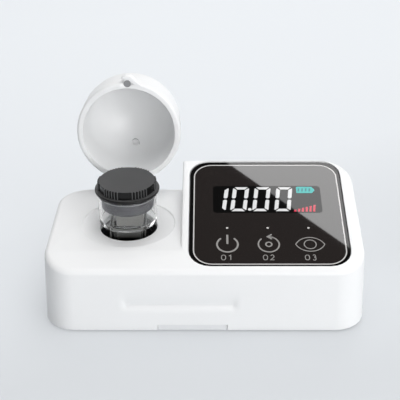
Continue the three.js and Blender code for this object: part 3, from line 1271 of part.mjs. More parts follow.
function addElectronics() {
  mesh('main_board', mainBoard(), boardGreen, model);
  mesh('usb_socket', usbSocket(), steel, model);
  mesh('battery_cell', batteryCell(), cellSilver, model);
  mesh('battery_pad', batteryPad(), foam, model);
  mainPostPlaces().forEach(([x, y], i) => {
    const at = new THREE.Matrix4().makeRotationX(Math.PI);
    at.setPosition(x, y, MAIN_Z + BOARD_T + SEAT_GAP + SMALL_HEAD_T);
    const solid = screw(SMALL_HEAD_R, SMALL_HEAD_T, SMALL_SCREW_R, MAIN_SCREW_L - SEAT_GAP, at);
    mesh(`board_screw_${i + 1}`, solid, steel, model);
  });
}

function addWell() {
  mesh('sample_well', sampleWell(), black, model);
  wellPostPlaces().forEach(([x, y], i) => {
    const at = new THREE.Matrix4().makeTranslation(x, y, HOLDER_EAR_Z - SEAT_GAP - SMALL_HEAD_T);
    const solid = screw(SMALL_HEAD_R, SMALL_HEAD_T, SMALL_SCREW_R, WELL_SCREW_L, at);
    mesh(`well_screw_${i + 1}`, solid, steel, model);
  });
  mesh('source_lamp', sourceLamp(), clearGlass, model);
  mesh('source_board', opticBoard(-1), boardGreen, model);
  mesh('interference_filter', interferenceFilter(), filterTint, model);
  mesh('photodiode', photodiode(), steel, model);
  mesh('detector_board', opticBoard(1), boardGreen, model);
}

// The lid hangs open on its pin
function addLid() {
  const hinge = new THREE.Group();
  hinge.position.set(LID_X, PIN_Y, PIN_Z);
  hinge.rotation.x = -THREE.MathUtils.degToRad(LID_OPEN_DEG);
  const lid = new THREE.Group();
  lid.position.set(0, -HINGE_BACK, LID_SEAT_Z - PIN_Z);
  hinge.add(lid);
  model.add(hinge);
  mesh('lid_shell', lidShell(), white, lid);
  mesh('lid_magnet', lidMagnet(), magnetGrey, lid);
}

function addVial() {
  const vial = new THREE.Group();
  vial.position.set(WELL_X, WELL_Y, 0);
  model.add(vial);
  mesh('vial_glass', vialGlass(), clearGlass, vial);
  mesh('stopper_cap', stopperCap(), capBlack, vial);
  mesh('stopper_plug', stopperPlug(), plugGrey, vial);
}

addHousing();
addPanel();
addElectronics();
addWell();
addLid();
addVial();

// The origin is the middle of the underside of everything
const assembly = new THREE.Group();
assembly.add(model);
assembly.updateMatrixWorld(true);
const bounds = new THREE.Box3().setFromObject(model, true);
const centre = bounds.getCenter(new THREE.Vector3());
model.position.set(-centre.x, -centre.y, -bounds.min.z);

export default assembly;
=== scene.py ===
"""Looks of the portable colorimeter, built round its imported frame."""

import json
import math

import bmesh
import bpy
from mathutils import Matrix, Vector
from mathutils.bvhtree import BVHTree
from mathutils.geometry import tessellate_polygon


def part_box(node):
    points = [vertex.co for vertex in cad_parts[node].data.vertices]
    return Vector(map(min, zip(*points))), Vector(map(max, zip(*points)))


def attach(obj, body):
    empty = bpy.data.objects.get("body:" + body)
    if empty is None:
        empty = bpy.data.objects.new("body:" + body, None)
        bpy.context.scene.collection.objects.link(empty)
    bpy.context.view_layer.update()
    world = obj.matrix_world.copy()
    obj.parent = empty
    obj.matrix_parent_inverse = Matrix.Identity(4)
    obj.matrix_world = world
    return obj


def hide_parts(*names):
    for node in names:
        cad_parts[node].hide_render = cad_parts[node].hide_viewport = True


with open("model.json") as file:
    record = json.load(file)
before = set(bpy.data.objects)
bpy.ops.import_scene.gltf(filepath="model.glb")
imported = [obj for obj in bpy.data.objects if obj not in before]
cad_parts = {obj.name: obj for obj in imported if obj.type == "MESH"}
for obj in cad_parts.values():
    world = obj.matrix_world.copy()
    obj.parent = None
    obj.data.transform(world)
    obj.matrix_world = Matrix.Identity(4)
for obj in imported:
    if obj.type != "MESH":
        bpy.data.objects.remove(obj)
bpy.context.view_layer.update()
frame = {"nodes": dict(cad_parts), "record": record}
MM = 0.001

# Places in the row frame, in millimetres
BODY_FRONT = -33.6
SHIFT_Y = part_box("top_shell")[0].y / MM - BODY_FRONT
FLOOR_LIFT = 0.8
CREASE_Y = -21.3 + SHIFT_Y
CREASE_Z = 32.6
TILT = math.radians(15.2)
GLASS_N = -0.45
GLASS_X0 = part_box("panel_glass")[0].x / MM
GLASS_X1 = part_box("panel_glass")[1].x / MM
GLASS_V0, GLASS_V1 = -8.6, 55.65
GLASS_R = 8.8
GLASS_BEVEL = 0.25
FILM = 0.02

CAMERA_AT = (1.322, -356.526 + SHIFT_Y, 237.334 + FLOOR_LIFT)
CAMERA_PITCH = math.radians(28.476)
CAMERA_YAW = math.radians(-0.52)
CAMERA_ROLL = math.radians(-0.291)
FOCAL_PX = 948.812
IMAGE_PX = 400
SENSOR_MM = 36.0
CLIP_NEAR, CLIP_FAR = 0.01, 20.0

BODY_OF = {n: b for b, ns in frame["record"]["behaviour"]["bodies"].items() for n in ns}


def panel_point(x, v, n=0.0):
    """A point of the sloping panel's frame as a row-frame point in metres."""
    c, s = math.cos(TILT), math.sin(TILT)
    return Vector((x, CREASE_Y + v * c - n * s, CREASE_Z + v * s + n * c)) * MM


# Materials
def principled(name):
    mat = bpy.data.materials.new(name)
    mat.use_nodes = True
    return mat, mat.node_tree, mat.node_tree.nodes["Principled BSDF"]


def node(tree, kind, **values):
    """A new node, with each value set on the input or the setting of that name."""
    made = tree.nodes.new(kind)
    for key, value in values.items():
        label = key.replace("_", " ")
        if key in made.inputs:
            made.inputs[key].default_value = value
        elif label in made.inputs:
            made.inputs[label].default_value = value
        else:
            setattr(made, key, value)
    return made


def noise(tree, scale, detail, stretch=None):
    """A noise over the piece's own space, stretched along an axis where asked."""
    place = node(tree, "ShaderNodeTexCoord").outputs["Object"]
    if stretch:
        mapping = node(tree, "ShaderNodeMapping", Scale=stretch)
        tree.links.new(place, mapping.inputs["Vector"])
        place = mapping.outputs["Vector"]
    made = node(tree, "ShaderNodeTexNoise", Scale=scale, Detail=detail)
    tree.links.new(place, made.inputs["Vector"])
    return made.outputs["Fac"]


def ranged(tree, source, **values):
    """A source carried from one span of values to another."""
    made = node(tree, "ShaderNodeMapRange", **values)
    tree.links.new(source, made.inputs["Value"])
    return made.outputs["Result"]


def maths(tree, operation, *sources, **settings):
    """The result of a Math node whose inputs are sockets or plain numbers."""
    made = node(tree, "ShaderNodeMath", operation=operation, **settings)
    for socket, source in zip(made.inputs, sources):
        if isinstance(source, (int, float)):
            socket.default_value = source
        else:
            tree.links.new(source, socket)
    return made.outputs["Value"]


def parts(tree, vector):
    """The X, Y and Z sockets of a vector."""
    made = node(tree, "ShaderNodeSeparateXYZ")
    tree.links.new(vector, made.inputs["Vector"])
    return made.outputs


def spread(tree, source, low, high, target):
    """Drive a socket between two values by a factor."""
    tree.links.new(ranged(tree, source, To_Min=low, To_Max=high), target)


def blend(tree, source, dark, light, target):
    """Drive a colour socket between two colours by a factor."""
    made = node(tree, "ShaderNodeMix", data_type="RGBA")
    made.inputs["A"].default_value = (*dark, 1)
    made.inputs["B"].default_value = (*light, 1)
    tree.links.new(source, made.inputs["Factor"])
    tree.links.new(made.outputs["Result"], target)


def shade_of(color, factor):
    return tuple(min(1.0, c * factor) for c in color)


FINE_DETAIL, SLOW_DETAIL, GLASS_DETAIL = 3.0, 2.0, 1.0
ROUGH_SPREAD = 0.15
DRIFT_SCALE = 28.0
BUMP_HEIGHT = 0.03 * MM
BRUSH_DARK = 0.9
BRUSH_ROUGH = (0.7, 1.3)
GLASS_DRIFT_SCALE = 60.0
GLASS_DARK = 0.985
GLASS_ROUGH_STEP = 0.01
GROUND_STREAKS = (60, 60, 900)
GROUND_DARK = 0.6
GROUND_ROUGH = (0.5, 0.7)
# Painted glow of the ground face: the heights where it starts and where it is full, and its strength
GROUND_PAINTED_FADE = (20.5, 26.5)
GROUND_PAINTED_GLOW = 0.4
PRINT_SCALE = 2500.0
CAP_GLOSS = 0.3
CAP_GRAIN, CAP_GRAIN_MM = 0.12, 0.35
CAP_LEVEL = (0.93, 0.99)
CAP_CORE_R, RIB_PROUD = 11.95, 0.62
CAP_FLANGE_Z0, CAP_FLANGE_T = -4.7, 1.15
# Painted highlight on the ribs' crests: where on the rib's rise it starts and where it is full, and its
# strength
CREST_SHARES = (0.5, 0.85)
CREST_HIGHLIGHT_GAIN = 1.3


def bump(tree, shader, source, strength):
    made = node(tree, "ShaderNodeBump", Strength=strength, Distance=BUMP_HEIGHT)
    tree.links.new(source, made.inputs["Height"])
    tree.links.new(made.outputs["Normal"], shader.inputs["Normal"])


def moulded(name, color, rough, grain=0.25, grain_mm=0.5, tint=0.03, metallic=0.0):
    """Moulded plastic, rubber or paint: fine grain in bump and roughness, a slow drift in colour."""
    mat, tree, shader = principled(name)
    shader.inputs["Metallic"].default_value = metallic
    fine = noise(tree, 1 / (grain_mm * MM), FINE_DETAIL)
    slow = noise(tree, DRIFT_SCALE, SLOW_DETAIL)
    blend(tree, slow, shade_of(color, 1 - tint), shade_of(color, 1 + tint), shader.inputs["Base Color"])
    spread(tree, fine, rough * (1 - ROUGH_SPREAD), rough * (1 + ROUGH_SPREAD), shader.inputs["Roughness"])
    bump(tree, shader, fine, grain)
    return mat


def brushed(name, color, rough, stretch):
    """Metal with fine lines along one axis."""
    mat, tree, shader = principled(name)
    shader.inputs["Metallic"].default_value = 1
    lines = noise(tree, 1.0, SLOW_DETAIL, stretch)
    low, high = BRUSH_ROUGH
    blend(tree, lines, shade_of(color, BRUSH_DARK), color, shader.inputs["Base Color"])
    spread(tree, lines, rough * low, rough * high, shader.inputs["Roughness"])
    return mat


def clear(name, color, rough=0.0, ior=1.5, gloss=0.5):
    """Clear glass or epoxy with a barely uneven tint."""
    mat, tree, shader = principled(name)
    shader.inputs["Transmission Weight"].default_value = 1
    shader.inputs["IOR"].default_value = ior
    shader.inputs["Specular IOR Level"].default_value = gloss
    slow = noise(tree, GLASS_DRIFT_SCALE, GLASS_DETAIL)
    blend(tree, slow, shade_of(color, GLASS_DARK), color, shader.inputs["Base Color"])
    spread(tree, slow, rough, rough + GLASS_ROUGH_STEP, shader.inputs["Roughness"])
    return mat


def ground(name, color):
    """Ground glass that glows with painted light in place of the light the clear glass carries down, fading
    with depth, in level streaks.
    """
    mat, tree, shader = principled(name)
    streaks = noise(tree, 1.0, SLOW_DETAIL, GROUND_STREAKS)
    for socket in ("Base Color", "Emission Color"):
        blend(tree, streaks, shade_of(color, GROUND_DARK), color, shader.inputs[socket])
    spread(tree, streaks, *GROUND_ROUGH, shader.inputs["Roughness"])
    place = parts(tree, node(tree, "ShaderNodeTexCoord").outputs["Object"])
    low, high = GROUND_PAINTED_FADE
    # Painted light: the glow fades out towards the bottom of the face.
    fade = ranged(tree, place["Z"], From_Min=low * MM, From_Max=high * MM, To_Max=GROUND_PAINTED_GLOW)
    tree.links.new(fade, shader.inputs["Emission Strength"])
    return mat


def printed(name, color, glow=0.0, gloss=0.5, rough=0.03, mottle=0.1):
    """A print or a lit mark under the panel's polished surface."""
    mat, tree, shader = principled(name)
    fine = noise(tree, PRINT_SCALE, SLOW_DETAIL)
    blend(tree, fine, shade_of(color, 1 - mottle), color, shader.inputs["Base Color"])
    shader.inputs["Roughness"].default_value = rough
    shader.inputs["Specular IOR Level"].default_value = gloss
    if glow:
        shader.inputs["Emission Color"].default_value = (*color, 1)
        shader.inputs["Emission Strength"].default_value = glow
    return mat


def cap_plastic(name, side_color, painted_light_color, side_rough, face_rough):
    """Black cap plastic, polished round the knurl, with painted sheen greying its level faces and painted
    highlights greying the ribs' crests.
    """
    mat, tree, shader = principled(name)
    shader.inputs["Specular IOR Level"].default_value = CAP_GLOSS
    coords = node(tree, "ShaderNodeTexCoord")
    facing = parts(tree, coords.outputs["Normal"])
    # Painted sheen: faces that look up get the grey colour; they are also rougher.
    level = ranged(tree, facing["Z"], From_Min=CAP_LEVEL[0], From_Max=CAP_LEVEL[1])

    low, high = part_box("stopper_cap")
    place = parts(tree, coords.outputs["Object"])
    flat = node(tree, "ShaderNodeCombineXYZ")
    tree.links.new(place["X"], flat.inputs["X"])
    tree.links.new(place["Y"], flat.inputs["Y"])
    reach = node(tree, "ShaderNodeVectorMath", operation="DISTANCE")
    tree.links.new(flat.outputs["Vector"], reach.inputs[0])
    reach.inputs[1].default_value = ((low.x + high.x) / 2, (low.y + high.y) / 2, 0)
    # Painted highlight: the ribs' crests over the flange get the grey colour.
    crest_from, crest_to = ((CAP_CORE_R + RIB_PROUD * share) * MM for share in CREST_SHARES)
    crest = ranged(tree, reach.outputs["Value"], From_Min=crest_from, From_Max=crest_to, To_Max=CREST_HIGHLIGHT_GAIN)
    flange_top = high.z + (CAP_FLANGE_Z0 + CAP_FLANGE_T) * MM
    painted_rib_highlight = maths(tree, "MULTIPLY", crest, maths(tree, "GREATER_THAN", place["Z"], flange_top))
    grey = maths(tree, "MAXIMUM", painted_rib_highlight, level)
    blend(tree, grey, side_color, painted_light_color, shader.inputs["Base Color"])
    spread(tree, level, side_rough, face_rough, shader.inputs["Roughness"])
    bump(tree, shader, noise(tree, 1 / (CAP_GRAIN_MM * MM), FINE_DETAIL), CAP_GRAIN)
    return mat


FINE_LINES_X = (300, 6000, 6000)
FINE_LINES_Z = (6000, 6000, 300)
VIAL_IOR = 1.3
VIAL_GLOSS = 0.5

WHITE = moulded(
    "white_satin_plastic", (0.868, 0.872, 0.876), rough=0.36, grain=0.12, grain_mm=0.6, tint=0.006,
)
WHITE_INSIDE = moulded("inside_white_plastic", (0.8, 0.81, 0.82), rough=0.55, grain=0.3, tint=0.015)
# Painted shadow for the deep edge of the lid's gate mark
MARK_SHADE = moulded("gate_mark_grey", (0.14, 0.14, 0.14), rough=0.5, grain=0.2)
BLACK_WELL = moulded("well_black_plastic", (0.01, 0.01, 0.011), rough=0.3, grain=0.15)
# The cap's grey face colour is painted light: sheen on its level faces and highlights on its ribs' crests.
CAP_BLACK = cap_plastic(
    "cap_black_plastic", side_color=(0.003, 0.003, 0.003), painted_light_color=(0.068, 0.068, 0.069),
    side_rough=0.2, face_rough=0.4,
)
PLUG_GREY = moulded("plug_grey_rubber", (0.1, 0.1, 0.11), rough=0.6, grain=0.3)
RUBBER = moulded("foot_rubber", (0.02, 0.02, 0.022), rough=0.75, grain=0.5)
FOAM = moulded("grey_foam", (0.04, 0.04, 0.043), rough=0.95, grain=1.0, grain_mm=0.9, tint=0.3)
BOARD = moulded("board_green", (0.02, 0.1, 0.05), rough=0.35, grain=0.15, grain_mm=1.2, tint=0.2)
DISPLAY = moulded("display_body", (0.03, 0.03, 0.035), rough=0.3, grain=0.1)
CELL = moulded(
    "cell_foil", (0.5, 0.52, 0.55), rough=0.3, grain=0.5, grain_mm=2.0, tint=0.05, metallic=0.8,
)
STEEL = brushed("plain_steel", (0.55, 0.56, 0.58), rough=0.3, stretch=FINE_LINES_X)
MAGNET = brushed("magnet_nickel", (0.3, 0.3, 0.305), rough=0.42, stretch=FINE_LINES_Z)
PANEL = printed("panel_black_glass", (0.016, 0.0125, 0.0115), gloss=0.5, rough=0.02)
WINDOW = printed("window_black_glass", (0.0022, 0.002, 0.002), gloss=0.24, rough=0.02)
BORDER = printed("border_black_glass", (0.0022, 0.0019, 0.0018), gloss=0.27, rough=0.02)
CLEAR = clear("clear_vial_glass", (0.985, 0.99, 0.99), ior=VIAL_IOR, gloss=VIAL_GLOSS)
GROUND_GLASS = ground("ground_glass_painted_glow", (0.4, 0.4, 0.39))
# Pale opaque threads in the glass that paint highlights on the vial's rim and crease
GLASS_EDGE_HIGHLIGHT = moulded("glass_edge", (0.42, 0.43, 0.435), rough=0.18, grain=0.05, grain_mm=0.6, tint=0.05)
LAMP = clear("lamp_epoxy", (0.93, 0.95, 0.95), rough=0.08)
FILTER = clear("filter_tint", (0.2, 0.55, 0.3), rough=0.05)
PRINT_GREY = printed("key_print_grey", (0.32, 0.31, 0.3))
LINE_SILVER = printed("frame_line_silver", (0.62, 0.61, 0.6))
DIGIT_WHITE = printed("digit_white", (0.67, 0.672, 0.675), glow=0.1, gloss=0.2, mottle=0.04)
LED_WHITE = printed("led_white", (0.6, 0.59, 0.57), glow=0.1, gloss=0.3)
MARK_TEAL = printed("battery_teal", (0.02, 0.42, 0.4), glow=0.1, gloss=0.24)
MARK_TEAL_DARK = printed("battery_cell_teal", (0.01, 0.17, 0.19), glow=0.15, gloss=0.24)
MARK_RED = printed("mark_red", (0.6, 0.035, 0.07), glow=0.12, gloss=0.24)

FINISH = {
    "top_shell": WHITE, "lid_shell": WHITE, "bottom_cover": WHITE_INSIDE, "sample_well": BLACK_WELL,
    "stopper_cap": CAP_BLACK, "stopper_plug": PLUG_GREY, "vial_glass": CLEAR, "panel_glass": PANEL,
    "display_module": DISPLAY, "panel_board": BOARD, "main_board": BOARD, "source_board": BOARD,
    "detector_board": BOARD, "battery_cell": CELL, "battery_pad": FOAM, "source_lamp": LAMP,
    "interference_filter": FILTER, "body_magnet": MAGNET, "lid_magnet": MAGNET,
}


def finish_of(name):
    if name.startswith("foot_"):
        return RUBBER
    return FINISH.get(name, STEEL)


# Meshes
def mesh_of(bm, name):
    """The mesh that was built in bm, which is freed."""
    mesh = bpy.data.meshes.new(name)
    bm.to_mesh(mesh)
    bm.free()
    return mesh


def smooth(mesh):
    mesh.polygons.foreach_set("use_smooth", [True] * len(mesh.polygons))


def circle(count, shift=0.0):
    """Angles spaced evenly round a circle, the first one a share of a step on."""
    return [2 * math.pi * (i + shift) / count for i in range(count)]


def turned(middle, r, angle, z):
    """The place at a radius and an angle round an upright axis."""
    return middle.x + r * math.cos(angle), middle.y + r * math.sin(angle), z


def middle_of(name):
    low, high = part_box(name)
    return (low + high) / 2


def bridge(bm, rings):
    """Quads between each ring of points and the next."""
    for lower, upper in zip(rings, rings[1:]):
        for i in range(len(lower)):
            j = (i + 1) % len(lower)
            bm.faces.new((lower[i], lower[j], upper[j], upper[i]))


def tube_mesh(bm, rings, name, closed=True):
    """A smooth tube through rings of points, joined end to end or capped."""
    for here, there in zip(rings, rings[1:] + rings[:1] if closed else rings[1:]):
        for j in range(len(here)):
            k = (j + 1) % len(here)
            bm.faces.new((here[j], there[j], there[k], here[k]))
    if not closed:
        bm.faces.new(rings[0])
        bm.faces.new(rings[-1][::-1])
    bmesh.ops.recalc_face_normals(bm, faces=bm.faces)
    mesh = mesh_of(bm, name)
    smooth(mesh)
    return mesh


def ring_mesh(name, middle, axis, radius, tube, steps, sides):
    """A closed ring of round section about an axis."""
    side = axis.orthogonal().normalized()
    other = axis.cross(side)
    bm = bmesh.new()
    rings = []
    for a in circle(steps):
        out = math.cos(a) * side + math.sin(a) * other
        rings.append([
            bm.verts.new(middle + (out * (radius + tube * math.cos(b)) + axis * tube * math.sin(b)) * MM)
            for b in circle(sides)
        ])
    return tube_mesh(bm, rings, name)


def swept_loop(name, path, tube, sides):
    """A closed thread of round section along a level closed path, in metres."""
    up = Vector((0, 0, 1))
    bm = bmesh.new()
    rings = []
    for i, at in enumerate(path):
        along = (path[(i + 1) % len(path)] - path[i - 1]).normalized()
        out = along.cross(up)
        rings.append([
            bm.verts.new(at + (out * math.cos(b) + up * math.sin(b)) * tube * MM) for b in circle(sides)
        ])
    return tube_mesh(bm, rings, name)


# Pieces
def linked(name, data):
    """A new object in the scene."""
    made = bpy.data.objects.new(name, data)
    bpy.context.scene.collection.objects.link(made)
    return made


def add_piece(name, mesh, material, body):
    piece = linked(name, mesh)
    mesh.materials.append(material)
    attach(piece, body)
    return piece


def stand_for(name, mesh, smooth_deg):
    """A finer mesh that takes a CAD node's place, on its body and in its finish."""
    smooth(mesh)
    mesh.set_sharp_from_angle(angle=math.radians(smooth_deg))
    piece = add_piece(name + "_skin", mesh, finish_of(name), BODY_OF[name])
    normals = piece.modifiers.new("normals", "WEIGHTED_NORMAL")
    normals.keep_sharp = True
    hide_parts(name)


WELD = 0.002 * MM
FLAT_DEG = 0.4
SMOOTH_DEG = 32.0


def refined(name):
    """The CAD node welded and shaded smoothly over its fine facets, standing for the node."""
    bm = bmesh.new()
    bm.from_mesh(frame["nodes"][name].data)
    bmesh.ops.remove_doubles(bm, verts=bm.verts, dist=WELD)
    bmesh.ops.dissolve_limit(bm, angle_limit=math.radians(FLAT_DEG), verts=bm.verts, edges=bm.edges)
    stand_for(name, mesh_of(bm, name + "_skin"), SMOOTH_DEG)


for node_name, cad in frame["nodes"].items():
    cad.data.materials.clear()
    cad.data.materials.append(finish_of(node_name))

REFINED = (
    "top_shell", "lid_shell", "bottom_cover", "sample_well", "stopper_plug",
    "panel_glass", "lid_magnet", "hinge_pin",
    "foot_front_left", "foot_front_right", "foot_rear_left", "foot_rear_right",
)
for node_name in REFINED:
    refined(node_name)


# Stopper cap: a rounded flange, and a cylinder with six groups of ribs that stand proud of it
CAP_FLANGE_R = 13.8
CAP_FLANGE_EDGE = 0.36
CAP_SEAT_R, CAP_SEAT_Z = 12.0, -5.75
CAP_SPIGOT_R, CAP_SPIGOT_Z = 5.0, -9.25
CAP_TOP_EDGE = 0.2
RIB_TOP_DROP = 0.12
RIB_TOP_SHARES = (0.9, 0.65)
RIB_EDGE = 0.3
GROUPS = 6
RIBS = 6
RIB_PITCH_DEG = 6.2
RIB_HALF_SHARE = 0.36
RIB_ROUNDNESS = 0.8
RIB_POINTS = 10
BLANK_POINTS = 8
CAP_SMOOTH_DEG = 50.0


def knurl_angles():
    """Angles round the cap, each with how far the rib stands proud there, from 0 to 1."""
    made = []
    group = 360 / GROUPS
    cut = RIBS * RIB_PITCH_DEG
    for g in range(GROUPS):
        start = g * group - cut / 2
        for i in range(RIBS * RIB_POINTS):
            along = i / RIB_POINTS
            off = abs(along % 1 - 0.5) / RIB_HALF_SHARE
            proud = math.cos(math.pi / 2 * off) ** RIB_ROUNDNESS if off < 1 else 0.0
            made.append((math.radians(start + along * RIB_PITCH_DEG), proud))
        for i in range(BLANK_POINTS):
            made.append((math.radians(start + cut + (group - cut) * i / BLANK_POINTS), 0.0))
    return made


def stopper_cap():
    low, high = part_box("stopper_cap")
    middle, top = (low + high) / 2, high.z
    flange_top = CAP_FLANGE_Z0 + CAP_FLANGE_T
    edge = CAP_FLANGE_EDGE
    soft = edge * (1 - math.sqrt(0.5))
    rows = (
        (CAP_SPIGOT_R, CAP_SPIGOT_Z, 0), (CAP_SPIGOT_R, CAP_SEAT_Z, 0), (CAP_SEAT_R, CAP_SEAT_Z, 0),
        (CAP_SEAT_R, CAP_FLANGE_Z0, 0), (CAP_FLANGE_R - edge, CAP_FLANGE_Z0, 0),
        (CAP_FLANGE_R - soft, CAP_FLANGE_Z0 + soft, 0), (CAP_FLANGE_R, CAP_FLANGE_Z0 + edge, 0),
        (CAP_FLANGE_R, flange_top - edge, 0), (CAP_FLANGE_R - soft, flange_top - soft, 0),
        (CAP_FLANGE_R - edge, flange_top, 0), (CAP_CORE_R, flange_top, 1),
        (CAP_CORE_R, -RIB_TOP_DROP - RIB_EDGE, 1), (CAP_CORE_R, -RIB_TOP_DROP, RIB_TOP_SHARES[0]),
        (CAP_CORE_R - CAP_TOP_EDGE, 0, RIB_TOP_SHARES[1]),
    )
    angles = knurl_angles()
    bm = bmesh.new()
    rings = []
    for radius, z, share in rows:
        ring = []
        for angle, proud in angles:
            r = (radius + RIB_PROUD * share * proud) * MM
            ring.append(bm.verts.new(turned(middle, r, angle, top + z * MM)))
        rings.append(ring)
    bridge(bm, rings)
    bm.faces.new(rings[0][::-1])
    bm.faces.new(rings[-1])
    stand_for("stopper_cap", mesh_of(bm, "stopper_cap_skin"), CAP_SMOOTH_DEG)


stopper_cap()


# Sample vial: square body, a short shoulder, and a round neck, all one clear solid
VIAL_HALF, VIAL_CORNER_R, VIAL_WALL = 7.9, 2.2, 1.25
VIAL_NECK_R, VIAL_NECK_WALL = 12.5, 0.95
VIAL_FLOOR_T, VIAL_EDGE = 1.6, 0.4
VIAL_SQUARE_Z, VIAL_ROUND_Z = 33.75, 34.85
VIAL_CREASE = 0.12
VIAL_POINTS = 128
VIAL_ANGLES = circle(VIAL_POINTS, 0.5)
SHOULDER_START, SHOULDER_END, SHOULDER_INSIDE = 0.04, 0.94, 0.9


def square_reach(angle, half, corner_r):
    """How far a rounded square reaches from its middle at an angle."""
    c, s = abs(math.cos(angle)), abs(math.sin(angle))
    reach, flat = half / max(c, s), half - corner_r
    if min(reach * c, reach * s) > flat:
        along = flat * (c + s)
        reach = along + math.sqrt(along ** 2 - 2 * flat ** 2 + corner_r ** 2)
    return reach


def vial_glass():
    low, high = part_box("vial_glass")
    middle, z0, z1 = (low + high) / 2, low.z / MM, high.z / MM
    e, k = VIAL_EDGE, VIAL_CREASE
    inner, bore = VIAL_HALF - VIAL_WALL, VIAL_NECK_R - VIAL_NECK_WALL
    corner, inner_corner = VIAL_CORNER_R, VIAL_CORNER_R - VIAL_WALL / 2
    shoulder_in, shoulder_top = VIAL_SQUARE_Z + VIAL_WALL, VIAL_ROUND_Z + VIAL_WALL
    rows = (
        (z0, 0, VIAL_HALF - e, corner - e, 0), (z0 + e, 0, VIAL_HALF, corner, 0),
        (VIAL_SQUARE_Z - k, 0, VIAL_HALF, corner, 0),
        (VIAL_SQUARE_Z + k / 2, SHOULDER_START, VIAL_HALF, corner, VIAL_NECK_R),
        (VIAL_ROUND_Z - e / 2, SHOULDER_END, VIAL_HALF, corner, VIAL_NECK_R),
        (VIAL_ROUND_Z + e / 2, 1, 0, 0, VIAL_NECK_R), (z1 - e, 1, 0, 0, VIAL_NECK_R),
        (z1, 1, 0, 0, VIAL_NECK_R - e), (z1, 1, 0, 0, bore + e / 2), (z1 - e / 2, 1, 0, 0, bore),
        (shoulder_top + e, 1, 0, 0, bore), (shoulder_top - e / 2, SHOULDER_INSIDE, inner, inner_corner, bore),
        (shoulder_in, 0, inner, inner_corner, 0), (z0 + VIAL_FLOOR_T + e, 0, inner, inner_corner, 0),
        (z0 + VIAL_FLOOR_T, 0, inner - e, inner_corner - e / 2, 0),
    )
    bm = bmesh.new()
    rings = []
    for z, share, half, corner_r, radius in rows:
        ring = []
        for angle in VIAL_ANGLES:
            square = square_reach(angle, half, corner_r) if share < 1 else 0
            r = (share * radius + (1 - share) * square) * MM
            ring.append(bm.verts.new(turned(middle, r, angle, z * MM)))
        rings.append(ring)
    bridge(bm, rings)
    bm.faces.new(rings[0][::-1])
    bm.faces.new(rings[-1])
    stand_for("vial_glass", mesh_of(bm, "vial_glass_skin"), SMOOTH_DEG)


vial_glass()

# Painted highlights: a pale opaque bead on the rim of the neck, and a pale opaque thread round the crease
# over the square body
BEAD_TUBE = 0.17
BEAD_R = 12.32
BEAD_DROP = 0.3
CREASE_LINE_TUBE = 0.2
THREAD_SIDES = 8

# Ground rear face of the body, glowing with painted light
FROST_HALF_W, FROST_T = 6.6, 0.05
FROST_GAP = 0.4
FROST_DEEP = 17.0


def vial_trim(name, mesh, material):
    add_piece(name, mesh, material, BODY_OF["vial_glass"])


def vial_rim_highlight():
    low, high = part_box("vial_glass")
    middle = Vector(((low.x + high.x) / 2, (low.y + high.y) / 2, high.z - BEAD_DROP * MM))
    mesh = ring_mesh("vial_rim_highlight", middle, Vector((0, 0, 1)), BEAD_R, BEAD_TUBE, VIAL_POINTS, THREAD_SIDES)
    vial_trim("vial_rim_highlight", mesh, GLASS_EDGE_HIGHLIGHT)


def vial_crease_highlight():
    """A painted highlight line along the crease where the square body joins the shoulder."""
    middle = middle_of("vial_glass")
    path = []
    for angle in VIAL_ANGLES:
        r = square_reach(angle, VIAL_HALF, VIAL_CORNER_R) * MM
        path.append(Vector(turned(middle, r, angle, VIAL_SQUARE_Z * MM)))
    vial_trim("vial_crease_highlight", swept_loop("vial_crease_highlight", path, CREASE_LINE_TUBE, THREAD_SIDES), GLASS_EDGE_HIGHLIGHT)


def ground_face():
    """A thin ground plate on the upper part of the rear face, glowing with painted light."""
    middle = middle_of("vial_glass")
    z0, z1 = VIAL_SQUARE_Z - FROST_DEEP, VIAL_SQUARE_Z - FROST_GAP
    bm = bmesh.new()
    corners = []
    for depth in (VIAL_HALF, VIAL_HALF + FROST_T):
        for x, z in ((-1, z0), (1, z0), (1, z1), (-1, z1)):
            place = (middle.x + x * FROST_HALF_W * MM, middle.y + depth * MM, z * MM)
            corners.append(bm.verts.new(place))
    for face in ((0, 1, 2, 3), (4, 5, 6, 7), (0, 1, 5, 4), (1, 2, 6, 5), (2, 3, 7, 6), (3, 0, 4, 7)):
        bm.faces.new([corners[i] for i in face])
    bmesh.ops.recalc_face_normals(bm, faces=bm.faces)
    vial_trim("vial_ground", mesh_of(bm, "vial_ground"), GROUND_GLASS)


vial_rim_highlight()
vial_crease_highlight()
ground_face()


# Retaining lip of the lid's magnet
LIP_R, LIP_TUBE = 1.72, 0.2
LIP_SINK = 0.24
LIP_STEPS, LIP_SIDES = 40, 8
NORMAL_DIGITS = 2


def disc_axis(disc):
    """The way a disc's front end looks: its two ends have more area than any strip of its edge."""
    areas = {}
    for face in disc.polygons:
        key = tuple(round(c, NORMAL_DIGITS) for c in face.normal)
        areas[key] = areas.get(key, 0) + face.area
    ends = sorted(areas, key=areas.get)[-2:]
    return Vector(min(ends, key=lambda normal: normal[1])).normalized()


def magnet_lip():
    """A thin ring that closes the gap round the magnet's face."""
    disc = frame["nodes"]["lid_magnet"].data
    axis, middle = disc_axis(disc), middle_of("lid_magnet")
    reach = max((v.co - middle).dot(axis) for v in disc.vertices)
    mouth = middle + axis * (reach - LIP_SINK * MM)
    mesh = ring_mesh("magnet_lip", mouth, axis, LIP_R, LIP_TUBE, LIP_STEPS, LIP_SIDES)
    add_piece("magnet_lip", mesh, WHITE, BODY_OF["lid_magnet"])


magnet_lip()

# Painted shadow along the deep edge of the round gate mark in the lid's crown
MARK_RIGHT, MARK_Z = 0.65, 46.6
MARK_R, MARK_TUBE = 1.95, 0.2
MARK_END_SHARE = 0.1
MARK_FLATNESS = 3
MARK_SPAN = (-8, 142)
MARK_STEPS, MARK_SIDES = 28, 8
MARK_START_GAP = 5.0


